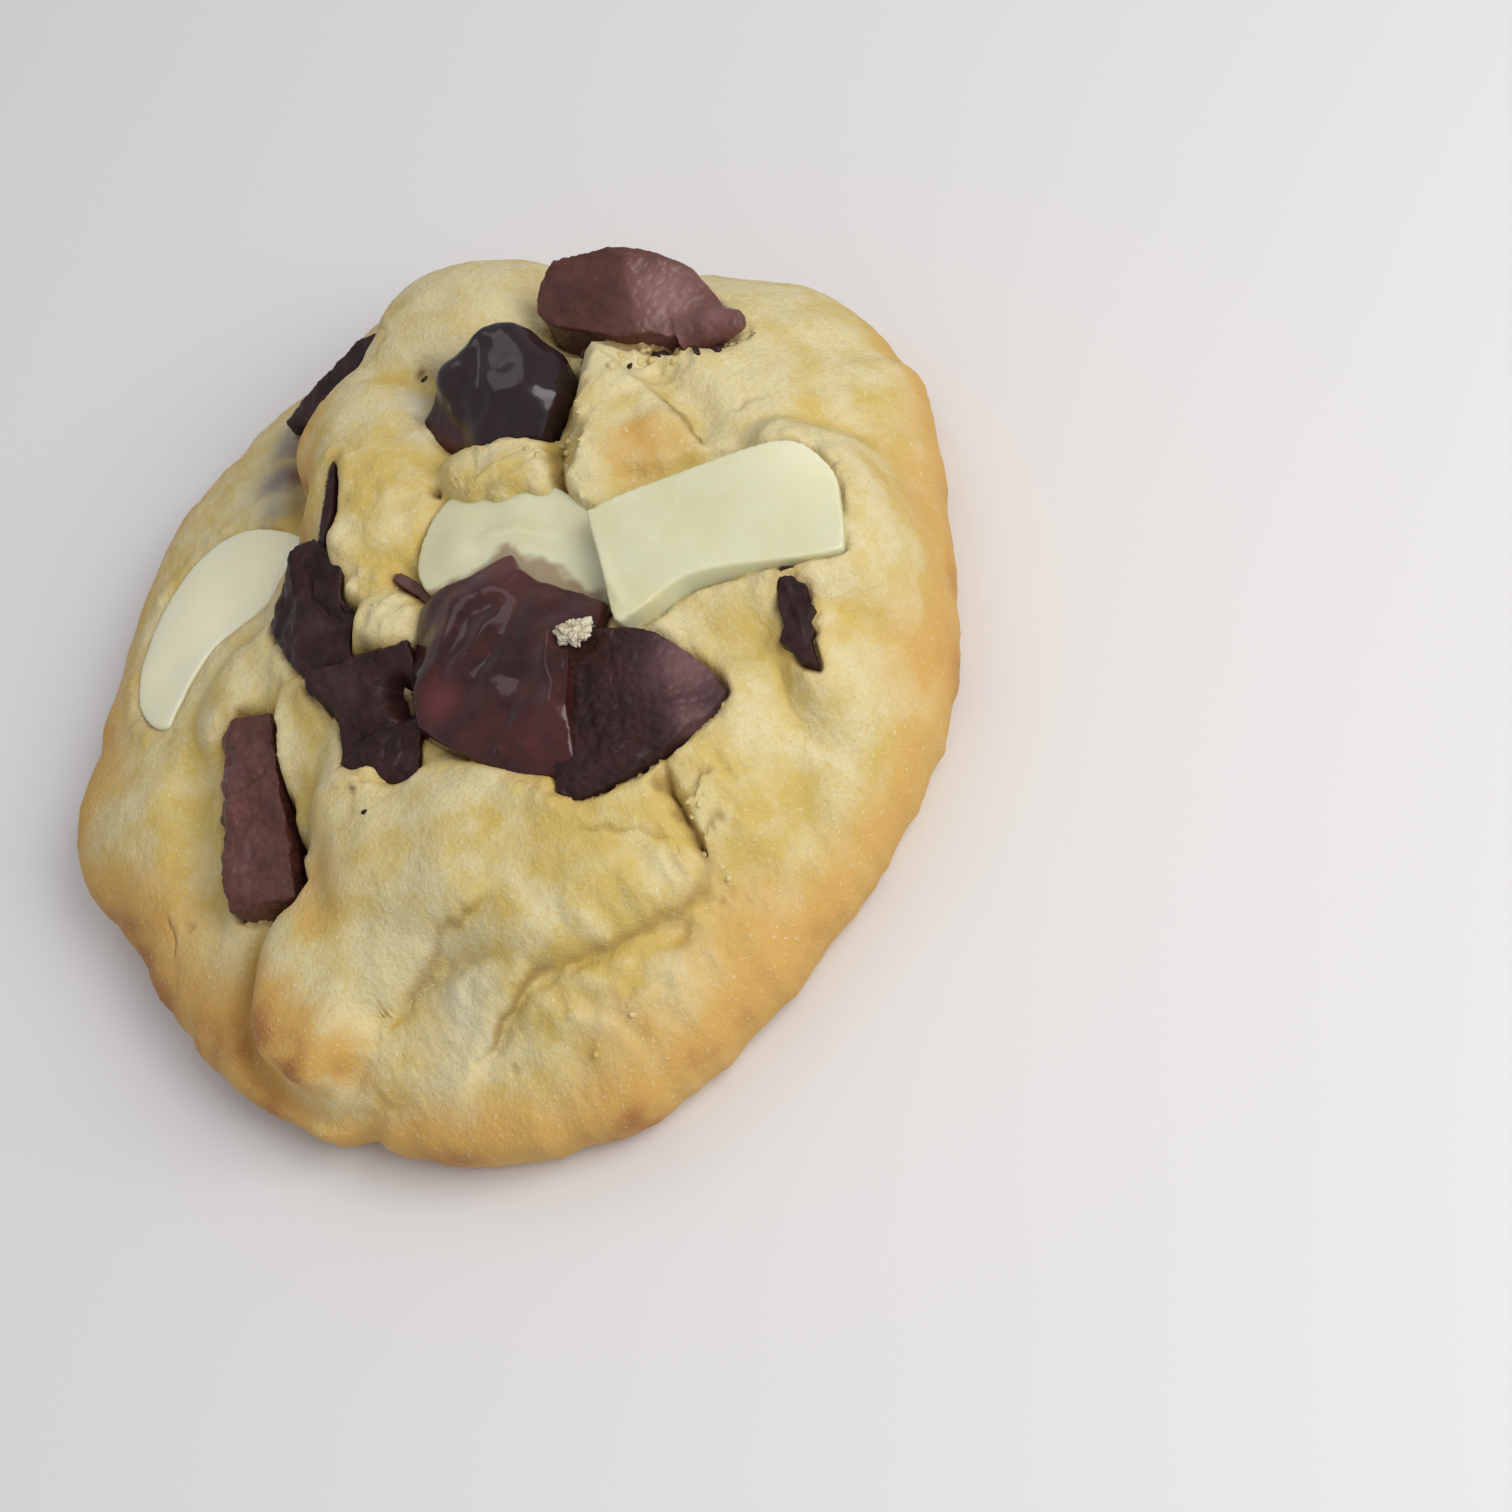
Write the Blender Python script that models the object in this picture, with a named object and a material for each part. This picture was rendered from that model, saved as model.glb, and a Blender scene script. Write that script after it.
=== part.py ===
"""Triple chocolate cookie: a thick, lumpy round of dough with white, milk and dark chocolate pieces.

Sizes and places below are millimetres in the cookie's own frame: +Z is up, the origin is on the table under the
middle of the cookie, and -Y is the side that faces the viewer. MM turns them into metres.
"""

import math

import bmesh
import bpy
from mathutils import Euler, Matrix, Vector, noise

MM = 0.001

# Driving dimensions of the dough
COOKIE_RADIUS = 40.0
EQUATOR_HEIGHT = 4.5
BASE_TOP = 11.5
BASE_CROWN = 3.0
EDGE_ROUNDNESS = 2.8
EDGE_CROWDING = 0.12
GRID_CELLS = 52
BLEND_LENGTH = 1.25
WAVE_HEIGHT = 0.30
WAVE_LENGTH = 6.0
SMOOTH_PASSES = 2

# The outline in plan: share of COOKIE_RADIUS every 15 degrees, anticlockwise from +X
OUTLINE = (
    1.019, 1.039, 0.998, 0.937, 1.033, 1.080, 1.005, 0.989,
    0.993, 0.966, 0.985, 1.046, 0.992, 1.016, 1.056, 1.067,
    1.081, 1.074, 1.003, 0.951, 0.937, 0.942, 0.925, 0.945,
)  # fmt: skip

# Rings below the widest line: height, and share of the outline
UNDERSIDE_RINGS = ((2.2, 0.988), (0.6, 0.960), (0.0, 0.930))

# Mounds of dough: x, y, half length, half width, turn in degrees, foot height, top height, squareness
LUMPS = {
    "middle": (7.0, -1.8, 28.5, 27.0, 0, 8.5, 18.8, 3.6),
    "front fold": (-6.0, -22.3, 17.5, 8.6, -36, 11.0, 21.0, 3.2),
    "front lobe": (-24.8, -17.3, 11.5, 6.4, 54, 5.0, 17.2, 2.8),
    "second fold": (-16.0, -28.0, 11.5, 4.2, -14, 8.0, 15.5, 2.4),
    "front valley": (-23.0, -30.8, 7.5, 5.0, 35, 3.0, 10.0, 2.0),
    "front rim lobe": (-26.0, -32.8, 6.5, 6.0, 0, 1.0, 7.5, 2.0),
    "right mass": (15.0, -21.3, 16.5, 12.5, -40, 6.0, 19.8, 2.3),
    "right shoulder": (26.0, -15.8, 11.5, 9.0, -50, 8.0, 18.6, 2.4),
    "far right mass": (26.0, -2.8, 17.0, 12.0, -65, 7.0, 19.7, 2.4),
    "far right dome": (29.0, 7.7, 13.0, 10.8, 75, 6.0, 19.0, 2.8),
    "far lobe": (13.0, 27.9, 12.0, 11.0, 0, 5.0, 21.6, 2.5),
    "peak": (17.8, 3.7, 8.5, 5.0, 82, 15.0, 23.2, 2.6),
    "bridge": (7.5, 7.2, 6.5, 5.5, 0, 12.0, 22.0, 2.2),
    "left mound": (-1.0, 14.7, 15.5, 8.0, 66, 8.0, 22.2, 2.8),
    "nub": (-6.2, 2.4, 5.0, 4.2, 65, 15.0, 21.8, 2.4),
    "left shoulder": (-16.5, -10.8, 10.0, 5.2, 62, 8.0, 19.2, 2.8),
    "left strip": (-19.0, 9.7, 8.5, 4.5, 30, 7.0, 16.0, 2.2),
    "left mass": (-32.5, 1.2, 13.0, 11.0, 80, 2.0, 13.5, 2.4),
}

# Creases in the dough: depth, half width, then the points along it
CREASES = {
    "upper crease": (1.2, 0.9, ((-22.5, -24.7), (-17.4, -24.7), (-13.7, -25.6), (-8.8, -29.2))),
    "lower crease": (1.6, 0.9, ((-19.1, -31.7), (-14.6, -29.8), (-10.4, -30.0), (-2.0, -33.8), (3.6, -33.5))),
    "chunk crack": (2.0, 0.8, ((5.7, -26.2), (4.6, -29.5), (4.2, -32.8))),
    "lobe foot": (1.5, 1.2, ((-23.3, -11.4), (-29.7, -12.4), (-33.5, -18.2), (-32.0, -22.7), (-26.3, -26.7))),
    "peak left crack": (3.0, 1.0, ((13.1, 7.2), (12.1, 4.2), (11.3, 1.1))),
    "peak right crack": (2.0, 0.9, ((22.2, 4.8), (22.4, 0.7), (22.2, -3.0))),
}

# Chopped chocolate: the outline seen from above, anticlockwise, the heights of base and top, how far the edges are
# rounded, and the knife cuts that slope the top, each a point on the cut and the way the cut face looks
CHOPPED = {
    "milk_chunk_top": {
        "kind": "milk chocolate",
        "outline": (
            (19.3, 21.2), (18.1, 20.0), (18.4, 18.0), (22.4, 11.8), (25.5, 9.4),
            (29.7, 7.4), (31.1, 8.0), (30.7, 13.0), (28.0, 16.6), (21.6, 21.6),
        ),
        "heights": (13.5, 23.4),
        "rounding": 0.4,
        "cuts": (((25.6, 13.9, 22.9), (-0.30, -0.02, 0.94)), ((25.6, 13.9, 22.9), (0.34, -0.40, 0.84))),
    },
    "milk_chunk_left": {
        "kind": "milk chocolate",
        "outline": (
            (-22.8, 6.9), (-29.3, -2.3), (-29.8, -6.4), (-26.1, -9.8),
            (-23.8, -8.0), (-21.2, -1.1), (-18.4, 3.4), (-19.2, 4.2),
        ),
        "heights": (6.5, 15.4),
        "rounding": 0.4,
        "cuts": (((-24.0, -0.8, 14.2), (-0.12, -0.16, 1.0)),),
    },
    "dark_chunk_centre": {
        "kind": "dark chocolate",
        "outline": (
            (4.1, -13.6), (-1.8, -23.2), (-1.3, -24.4), (4.2, -25.1), (8.8, -24.4),
            (12.1, -23.4), (12.8, -21.8), (11.6, -18.8), (8.9, -15.2), (6.9, -13.2),
        ),
        "heights": (14.0, 23.6),
        "rounding": 0.4,
        "cuts": (((9.2, -21.0, 22.6), (-0.34, 0.04, 0.94)), ((9.2, -21.0, 22.6), (0.51, -0.50, 0.70))),
    },
    "dark_chunk_lower_left": {
        "kind": "dark chocolate",
        "outline": (
            (-13.9, 1.0), (-14.2, -4.1), (-14.4, -6.5), (-15.6, -8.2), (-14.4, -10.2),
            (-11.0, -11.6), (-7.6, -8.2), (-6.9, -4.3), (-8.1, -2.4), (-10.7, -0.9),
        ),
        "heights": (12.5, 20.4),
        "rounding": 0.4,
        "cuts": (((-11.5, -4.8, 20.0), (-0.20, -0.15, 1.0)), ((-9.8, -5.8, 19.9), (0.50, 0.0, 0.85))),
    },
    "dark_chunk_left": {
        "kind": "dark chocolate",
        "outline": (
            (-10.0, 13.4), (-14.4, 11.1), (-15.0, 4.8), (-14.8, 2.4), (-12.8, 2.0),
            (-10.0, 0.6), (-10.0, 3.3), (-8.6, 5.7), (-6.9, 6.8), (-8.3, 13.2),
        ),
        "heights": (12.5, 19.8),
        "rounding": 0.4,
        "cuts": (((-12.0, 7.2, 19.5), (-0.25, -0.10, 1.0)), ((-9.5, 8.2, 19.3), (0.50, 0.0, 0.85))),
    },
    "dark_chunk_far": {
        "kind": "dark chocolate",
        "outline": (
            (6.8, 31.8), (4.6, 33.2), (-2.2, 33.6), (-5.0, 33.0),
            (-7.9, 29.6), (-7.6, 26.8), (-4.0, 25.6), (7.0, 28.8),
        ),
        "heights": (5.0, 16.0),
        "rounding": 0.4,
        "cuts": (((0.0, 30.2, 13.6), (-0.34, 0.05, 1.0)),),
    },
    "dark_splinter_right": {
        "kind": "dark chocolate",
        "outline": (
            (22.3, -17.2), (20.9, -19.2), (18.5, -22.4), (18.6, -23.8), (19.6, -24.8),
            (20.8, -23.8), (22.2, -21.8), (22.2, -19.8), (23.0, -17.8),
        ),
        "heights": (13.5, 19.8),
        "rounding": 0.4,
        "cuts": (((21.0, -20.8, 19.6), (0.1, -0.2, 1.0)),),
    },
    "dark_chunk_glossy": {
        "kind": "dark chocolate",
        "outline": (
            (6.2, 18.4), (4.5, 16.0), (4.3, 13.2), (6.4, 10.8), (14.6, 8.8),
            (17.2, 11.2), (18.0, 15.3), (16.2, 18.2), (12.3, 19.4), (8.6, 19.4),
        ),
        "heights": (13.0, 22.6),
        "rounding": 1.3,
        "cuts": (
            ((12.5, 14.7, 22.2), (-0.05, -0.10, 1.0)),
            ((8.5, 14.2, 21.4), (-0.60, 0.10, 0.80)),
            ((11.5, 11.2, 21.2), (-0.15, -0.70, 0.70)),
        ),
    },
    "molten_chunk": {
        "kind": "melted chocolate",
        "outline": (
            (-8.0, -9.8), (-7.2, -13.2), (-4.4, -17.8), (-2.2, -22.4), (-0.2, -20.4), (4.2, -13.0),
            (8.8, -12.4), (9.0, -10.6), (6.9, -7.8), (4.4, -1.8), (-3.6, -1.2), (-6.2, -3.4), (-7.2, -6.6),
        ),
        "heights": (13.5, 24.0),
        "rounding": 1.3,
        "cuts": (
            ((-0.5, -10.3, 23.8), (0.05, -0.10, 1.0)),
            ((-4.0, -8.8, 22.8), (-0.50, 0.10, 0.85)),
            ((-2.0, -15.8, 22.8), (-0.60, -0.40, 0.70)),
            ((4.5, -8.3, 22.8), (0.45, 0.30, 0.85)),
        ),
    },
}  # fmt: skip

# White slabs: middle, size, turns about X, Y and Z in degrees, sag of the far end, dent in the near side
SLABS = {
    "white_slab": ((19.6, -10.0, 20.6), (20.5, 13.0, 4.2), (0, 4, -16), 1.5, 1.2),
    "white_chunk_centre": ((5.2, -1.4, 18.8), (13.5, 8.5, 4.2), (0, 0, -38), 0.4, 0.0),
    "white_slab_left": ((-19.6, 18.8, 10.8), (19.5, 8.4, 4.2), (-15, -15, 12), 0.8, 0.0),
}

# Clear space between a piece of chocolate and what it is pressed into
GAP = 0.3

# A piece is trimmed where it would cross one that comes before it here
TRIM_ORDER = (
    "white_slab",
    "dark_chunk_centre",
    "molten_chunk",
    "white_chunk_centre",
    "dark_chunk_lower_left",
    "dark_chunk_left",
    "milk_chunk_top",
    "dark_chunk_glossy",
    "dark_chunk_far",
    "white_slab_left",
    "dark_splinter_right",
    "milk_chunk_left",
)

# Colour (linear) and roughness
MATERIALS = {
    "baked dough": ((0.72, 0.56, 0.25), 0.75),
    "milk chocolate": ((0.120, 0.045, 0.032), 0.55),
    "dark chocolate": ((0.034, 0.015, 0.013), 0.50),
    "melted chocolate": ((0.050, 0.014, 0.014), 0.15),
    "white chocolate": ((0.74, 0.71, 0.45), 0.35),
}

# How fine the meshes are
BEVEL_STEPS_PER_MM = 2.4
SLAB_CUTS = (5, 2)
SOFT_EDGE_ANGLE = 0.25
TINY = 0.02


def smooth_loop_value(values, angle):
    """Reads a closed list of values at an angle, along a smooth curve through them."""
    place = angle / (2 * math.pi) * len(values)
    index = math.floor(place)
    t = place - index
    before, start, end, after = (values[(index + step) % len(values)] for step in (-1, 0, 1, 2))
    bend = 3 * (start - end) + after - before
    return start + 0.5 * t * (end - before + t * (2 * before - 5 * start + 4 * end - after + t * bend))


def outline_radius(angle):
    return COOKIE_RADIUS * smooth_loop_value(OUTLINE, angle)


def lump_height(x, y, lump):
    """Height of one mound at (x, y): a rounded block above its foot, and a slope falling away outside it."""
    centre_x, centre_y, half_length, half_width, turn, foot, top, squareness = lump
    turn = math.radians(turn)
    along = (x - centre_x) * math.cos(turn) + (y - centre_y) * math.sin(turn)
    across = (y - centre_y) * math.cos(turn) - (x - centre_x) * math.sin(turn)
    reach = math.hypot(along / half_length, across / half_width)
    if reach >= 1:
        return foot - (reach - 1) * half_width
    return foot + (top - foot) * (1 - reach**squareness) ** (1 / squareness)


def distance_to_path(x, y, points):
    """Distance from (x, y) to a line of points, and how far along it the nearest place is, 0 to 1."""
    nearest, share = math.inf, 0
    for index, (start, end) in enumerate(zip(points, points[1:])):
        run_x, run_y = end[0] - start[0], end[1] - start[1]
        t = ((x - start[0]) * run_x + (y - start[1]) * run_y) / (run_x**2 + run_y**2)
        t = min(1, max(0, t))
        gap = math.hypot(x - start[0] - t * run_x, y - start[1] - t * run_y)
        if gap < nearest:
            nearest, share = gap, (index + t) / (len(points) - 1)
    return nearest, share


def crease_depth(x, y, crease):
    depth, half_width, points = crease
    distance, share = distance_to_path(x, y, points)
    taper = min(1, 5 * share, 5 * (1 - share))
    return depth * taper * math.exp(-((distance / half_width) ** 2))


def relief(x, y):
    """Height of the dough's top at (x, y), before its edge is rounded down."""
    crown = BASE_CROWN * (1 - (x * x + y * y) / COOKIE_RADIUS**2)
    heights = [BASE_TOP + crown] + [lump_height(x, y, lump) for lump in LUMPS.values()]
    highest = max(heights)
    total = sum(math.exp((height - highest) / BLEND_LENGTH) for height in heights)
    top = highest + math.log(total) * BLEND_LENGTH
    wave = WAVE_HEIGHT * noise.noise(Vector((x, y, 0)) / WAVE_LENGTH)
    return top + wave - sum(crease_depth(x, y, crease) for crease in CREASES.values())


def disc_place(u, v):
    """Turns a place in the square -1..1 into (share of the radius, angle) on a disc."""
    if u == 0 and v == 0:
        return 0, 0
    if abs(u) > abs(v):
        share, angle = abs(u), math.pi / 4 * v / u + (math.pi if u < 0 else 0)
    else:
        share, angle = abs(v), math.pi / 2 - math.pi / 4 * u / v + (math.pi if v < 0 else 0)
    return share * (1 + EDGE_CROWDING * (1 - share**6)), angle


def dough_point(share, angle):
    radius = share * outline_radius(angle)
    x, y = radius * math.cos(angle), radius * math.sin(angle)
    edge = max(0, 1 - share**EDGE_ROUNDNESS) ** (1 / EDGE_ROUNDNESS)
    return Vector((x, y, EQUATOR_HEIGHT + (relief(x, y) - EQUATOR_HEIGHT) * edge))


def link_mesh(name, build, material):
    """Turns a bmesh in millimetres into a named object of the scene."""
    bmesh.ops.scale(build, vec=(MM, MM, MM), verts=build.verts)
    bmesh.ops.recalc_face_normals(build, faces=build.faces)
    mesh = bpy.data.meshes.new(name)
    build.to_mesh(mesh)
    build.free()
    mesh.materials.append(material)
    made = bpy.data.objects.new(name, mesh)
    bpy.context.scene.collection.objects.link(made)
    return made


def make_dough(material):
    build = bmesh.new()
    bmesh.ops.create_grid(build, x_segments=GRID_CELLS, y_segments=GRID_CELLS, size=1)
    for vertex in build.verts:
        vertex.co = dough_point(*disc_place(vertex.co.x, vertex.co.y))
    inner = [vertex for vertex in build.verts if not vertex.is_boundary]
    for _ in range(SMOOTH_PASSES):
        bmesh.ops.smooth_vert(build, verts=inner, factor=0.5, use_axis_x=True, use_axis_y=True, use_axis_z=True)
    rim = [edge for edge in build.edges if edge.is_boundary]
    for height, share in UNDERSIDE_RINGS:
        grown = bmesh.ops.extrude_edge_only(build, edges=rim)["geom"]
        rim = [item for item in grown if isinstance(item, bmesh.types.BMEdge)]
        for vertex in {vertex for edge in rim for vertex in edge.verts}:
            angle = math.atan2(vertex.co.y, vertex.co.x)
            radius = share * outline_radius(angle)
            vertex.co = (radius * math.cos(angle), radius * math.sin(angle), height)
    bmesh.ops.contextual_create(build, geom=rim)
    return link_mesh("dough", build, material)


def cut_prism(outline, heights, cuts):
    """A block with the given outline whose top is sliced by sloping knife cuts."""
    base, top = heights
    build = bmesh.new()
    floor = build.faces.new([build.verts.new((x, y, base)) for x, y in outline])
    for item in bmesh.ops.extrude_face_region(build, geom=[floor])["geom"]:
        if isinstance(item, bmesh.types.BMVert):
            item.co.z = top
    bmesh.ops.recalc_face_normals(build, faces=build.faces)
    for point, direction in cuts:
        geometry = build.verts[:] + build.edges[:] + build.faces[:]
        cut = bmesh.ops.bisect_plane(build, geom=geometry, plane_co=point, plane_no=direction, clear_outer=True)
        rim = [item for item in cut["geom_cut"] if isinstance(item, bmesh.types.BMEdge)]
        bmesh.ops.contextual_create(build, geom=rim)
    bmesh.ops.remove_doubles(build, verts=build.verts, dist=TINY)
    return build


def make_chopped(name, shape, material):
    """A piece of chocolate: a sliced block with its edges rounded, more so where the oven softened it."""
    build = cut_prism(shape["outline"], shape["heights"], shape["cuts"])
    sharp = [edge for edge in build.edges if edge.calc_face_angle() > SOFT_EDGE_ANGLE]
    rounding = shape["rounding"]
    steps = round(rounding * BEVEL_STEPS_PER_MM)
    bmesh.ops.bevel(
        build, geom=sharp, offset=rounding, segments=steps, profile=0.5, affect="EDGES", clamp_overlap=True
    )
    bmesh.ops.remove_doubles(build, verts=build.verts, dist=TINY)
    bmesh.ops.triangulate(build, faces=build.faces)
    return link_mesh(name, build, material)


def make_slab(name, shape, material):
    """A white slab that has sagged over the dough, with rounded corners."""
    middle, size, turns, sag, dent = shape
    build = bmesh.new()
    bmesh.ops.create_cube(build, size=2)
    for axis, cuts in enumerate(SLAB_CUTS):
        edges = [edge for edge in build.edges if abs(edge.verts[0].co[axis] - edge.verts[1].co[axis]) > 1]
        bmesh.ops.subdivide_edges(build, edges=edges, cuts=cuts, use_grid_fill=True)
    length, width, height = (side / 2 for side in size)
    for vertex in build.verts:
        u, v, w = vertex.co
        corner = 1 - 0.16 * (u * v) ** 2
        push = dent * math.exp(-(((u + 0.1) / 0.35) ** 2)) if v < 0 else 0
        drop = sag * (max(0, u) ** 2 + 0.4 * v * v)
        vertex.co = (u * length * corner, v * width * corner + push, w * height - drop)
    turn = Euler([math.radians(angle) for angle in turns]).to_matrix().to_4x4()
    bmesh.ops.transform(build, matrix=Matrix.Translation(middle) @ turn, verts=build.verts)
    made = link_mesh(name, build, material)
    round_off = made.modifiers.new("round off", "SUBSURF")
    round_off.levels = round_off.render_levels = 1
    return made


def grown_copy(piece, depsgraph):
    """A copy of a piece, larger by GAP all round, that cuts the room for it out of its neighbours."""
    build = bmesh.new()
    build.from_object(piece, depsgraph)
    build.normal_update()
    moves = [vertex.normal * vertex.calc_shell_factor() * GAP for vertex in build.verts]
    bmesh.ops.scale(build, vec=(1 / MM, 1 / MM, 1 / MM), verts=build.verts)
    for vertex, move in zip(build.verts, moves):
        vertex.co += move
    cutter = link_mesh("room for " + piece.name, build, piece.data.materials[0])
    cutter.hide_render = True
    cutter.display_type = "WIRE"
    return cutter


def apply_cut(target, cutters):
    """Cuts a collection of cutters out of the target, and keeps the largest body that is left."""
    cut = target.modifiers.new("cut", "BOOLEAN")
    cut.operation = "DIFFERENCE"
    cut.operand_type = "COLLECTION"
    cut.collection = cutters
    cut.solver = "EXACT"
    bpy.context.view_layer.update()
    build = bmesh.new()
    build.from_object(target, bpy.context.evaluated_depsgraph_get())
    target.modifiers.clear()
    keep_largest_body(build)
    bmesh.ops.dissolve_degenerate(build, dist=0.5 * TINY * MM, edges=build.edges)
    bmesh.ops.triangulate(build, faces=build.faces)
    build.to_mesh(target.data)
    build.free()


def keep_largest_body(build):
    left = set(build.verts)
    bodies = []
    while left:
        reached = [left.pop()]
        for vertex in reached:
            for edge in vertex.link_edges:
                other = edge.other_vert(vertex)
                if other in left:
                    left.remove(other)
                    reached.append(other)
        bodies.append(reached)
    bodies.sort(key=len)
    for scrap in bodies[:-1]:
        bmesh.ops.delete(build, geom=scrap, context="VERTS")


def make_material(name, colour, roughness):
    material = bpy.data.materials.new(name)
    material.use_nodes = True
    shader = material.node_tree.nodes["Principled BSDF"]
    shader.inputs["Base Color"].default_value = (*colour, 1)
    shader.inputs["Roughness"].default_value = roughness
    return material


def make_chocolates(materials):
    pieces = {}
    for name, shape in CHOPPED.items():
        pieces[name] = make_chopped(name, shape, materials[shape["kind"]])
    for name, shape in SLABS.items():
        pieces[name] = make_slab(name, shape, materials["white chocolate"])
    return pieces


def press_in(dough, pieces):
    """Trims the pieces against each other, then cuts a snug hollow for each into the dough."""
    cutters = bpy.data.collections.new("cutters")
    for name in TRIM_ORDER:
        if cutters.objects:
            apply_cut(pieces[name], cutters)
        bpy.context.view_layer.update()
        cutter = grown_copy(pieces[name], bpy.context.evaluated_depsgraph_get())
        cutters.objects.link(cutter)
        bpy.context.scene.collection.objects.unlink(cutter)
    apply_cut(dough, cutters)
    for cutter in list(cutters.objects):
        bpy.data.objects.remove(cutter)
    bpy.data.collections.remove(cutters)


def main():
    for old in list(bpy.data.objects):
        bpy.data.objects.remove(old)
    materials = {name: make_material(name, *look) for name, look in MATERIALS.items()}
    dough = make_dough(materials["baked dough"])
    press_in(dough, make_chocolates(materials))


main()
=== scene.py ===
# Triple chocolate cookie: the looks of one thick baked cookie with white, milk and dark chocolate in its
# lumpy top. Sizes and places are millimetres in the cookie's own frame: +Z is up, the origin is on the table
# under the middle of the cookie, and -Y is the side that faces the viewer. The value mm turns them into
# metres.

import math
import random

import bpy
import numpy as np
from mathutils import Matrix, Vector, noise
from mathutils.bvhtree import BVHTree


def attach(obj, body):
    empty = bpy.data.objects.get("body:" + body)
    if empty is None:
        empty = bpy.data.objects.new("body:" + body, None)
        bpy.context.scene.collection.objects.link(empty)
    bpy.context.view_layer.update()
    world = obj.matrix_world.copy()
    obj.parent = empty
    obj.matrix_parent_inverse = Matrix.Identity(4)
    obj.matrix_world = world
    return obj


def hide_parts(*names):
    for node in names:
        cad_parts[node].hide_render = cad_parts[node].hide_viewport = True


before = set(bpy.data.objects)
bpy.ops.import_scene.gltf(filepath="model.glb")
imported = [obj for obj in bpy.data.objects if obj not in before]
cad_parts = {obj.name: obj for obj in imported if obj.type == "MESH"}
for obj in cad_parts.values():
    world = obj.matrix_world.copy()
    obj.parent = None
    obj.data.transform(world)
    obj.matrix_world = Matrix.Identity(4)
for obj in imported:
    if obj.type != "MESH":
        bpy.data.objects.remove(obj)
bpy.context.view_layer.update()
mm = 0.001

# Rays that look for a surface start above everything; nothingThere stands for the height where they meet none
rayHeight = 60
nothingThere = -100.0
print("stage: frame loaded,", len(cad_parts), "solids")


# Small helpers for meshes, in millimetres


def deselectAll():
    if bpy.context.mode != "OBJECT":
        bpy.ops.object.mode_set(mode="OBJECT")
    bpy.ops.object.select_all(action="DESELECT")


def makeActive(piece):
    deselectAll()
    piece.select_set(True)
    bpy.context.view_layer.objects.active = piece


def startEditing(piece, mode="VERT", selection="SELECT"):
    makeActive(piece)
    bpy.ops.object.mode_set(mode="EDIT")
    bpy.ops.mesh.select_mode(type=mode)
    bpy.ops.mesh.select_all(action=selection)


def readPoints(piece):
    flat = np.empty(len(piece.data.vertices) * 3)
    piece.data.vertices.foreach_get("co", flat)
    return flat.reshape(-1, 3) / mm


def writePoints(piece, points):
    piece.data.vertices.foreach_set("co", (points * mm).ravel())
    piece.data.update()


def readNormals(piece):
    flat = np.empty(len(piece.data.vertices) * 3)
    piece.data.vertices.foreach_get("normal", flat)
    return flat.reshape(-1, 3)


def writeMask(piece, name, values):
    mask = piece.data.attributes.new(name, "FLOAT", "POINT")
    mask.data.foreach_set("value", np.clip(values, 0, 1).astype(np.float32))


def applyModifier(piece, kind, **settings):
    makeActive(piece)
    modifier = piece.modifiers.new(kind.lower(), kind)
    for name, value in settings.items():
        setattr(modifier, name, value)
    bpy.ops.object.modifier_apply(modifier=modifier.name)


def roughValues(points, size, seed=0.0, layers=1):
    # smooth random values, about -1 to 1, whose bumps are size wide; each layer halves size and height
    total = np.zeros(len(points))
    for layer in range(layers):
        places = points * 2**layer / np.asarray(size) + 17.3 * seed + 5.1 * layer
        total += np.array([noise.noise(place) for place in places.tolist()]) / 2**layer
    return total * 1.6


def crackleValues(points, size, seed):
    # flat cells, size wide, with narrow furrows between them: 0 on a cell, -1 in a furrow
    values = []
    for place in (points / size + 3.7 * seed).tolist():
        near = noise.voronoi(place)[0]
        values.append(near[1] - near[0])
    return smoothStep(np.array(values), 0.0, 0.28) - 1


def flatPlaces(xy):
    return np.column_stack([xy, np.zeros(len(xy))])


def smoothStep(values, low, high):
    share = np.clip((values - low) / (high - low), 0, 1)
    return share * share * (3 - 2 * share)


def pathPlaces(xy, path):
    # for each place: distance to the line, how far along it (0 to 1), the nearest place on it, and the side,
    # which is +1 on its left
    path = np.array(path, float)
    best = np.full(len(xy), np.inf)
    along, side = np.zeros(len(xy)), np.ones(len(xy))
    nearest = np.zeros_like(xy)
    for index, (start, end) in enumerate(zip(path, path[1:])):
        run = end - start
        t = np.clip((xy - start) @ run / (run @ run), 0, 1)
        there = start + t[:, None] * run
        away = xy - there
        gap = np.hypot(away[:, 0], away[:, 1])
        closer = gap < best
        best = np.where(closer, gap, best)
        along = np.where(closer, (index + t) / (len(path) - 1), along)
        nearest = np.where(closer[:, None], there, nearest)
        turned = run[0] * (xy[:, 1] - start[1]) - run[1] * (xy[:, 0] - start[0])
        side = np.where(closer, np.sign(turned), side)
    return best, along, nearest, side


def endTaper(along, share=0.2):
    return np.minimum(1, np.minimum(along, 1 - along) / share)


def smoothLoop(corners, steps):
    # a closed smooth curve through the corners, steps places to each span
    corners = np.array(corners, float)
    before, after = np.roll(corners, 1, axis=0), np.roll(corners, -1, axis=0)
    later = np.roll(corners, -2, axis=0)
    places = []
    for index in range(len(corners)):
        p0, p1, p2, p3 = before[index], corners[index], after[index], later[index]
        for step in range(steps):
            t = step / steps
            bend = 2 * p0 - 5 * p1 + 4 * p2 - p3 + t * (3 * (p1 - p2) + p3 - p0)
            places.append(p1 + 0.5 * t * (p2 - p0 + t * bend))
    return np.array(places)


# Node groups and materials


def addNode(tree, kind, **values):
    node = tree.nodes.new(kind)
    for name, value in values.items():
        setattr(node, name, value)
    return node


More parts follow.
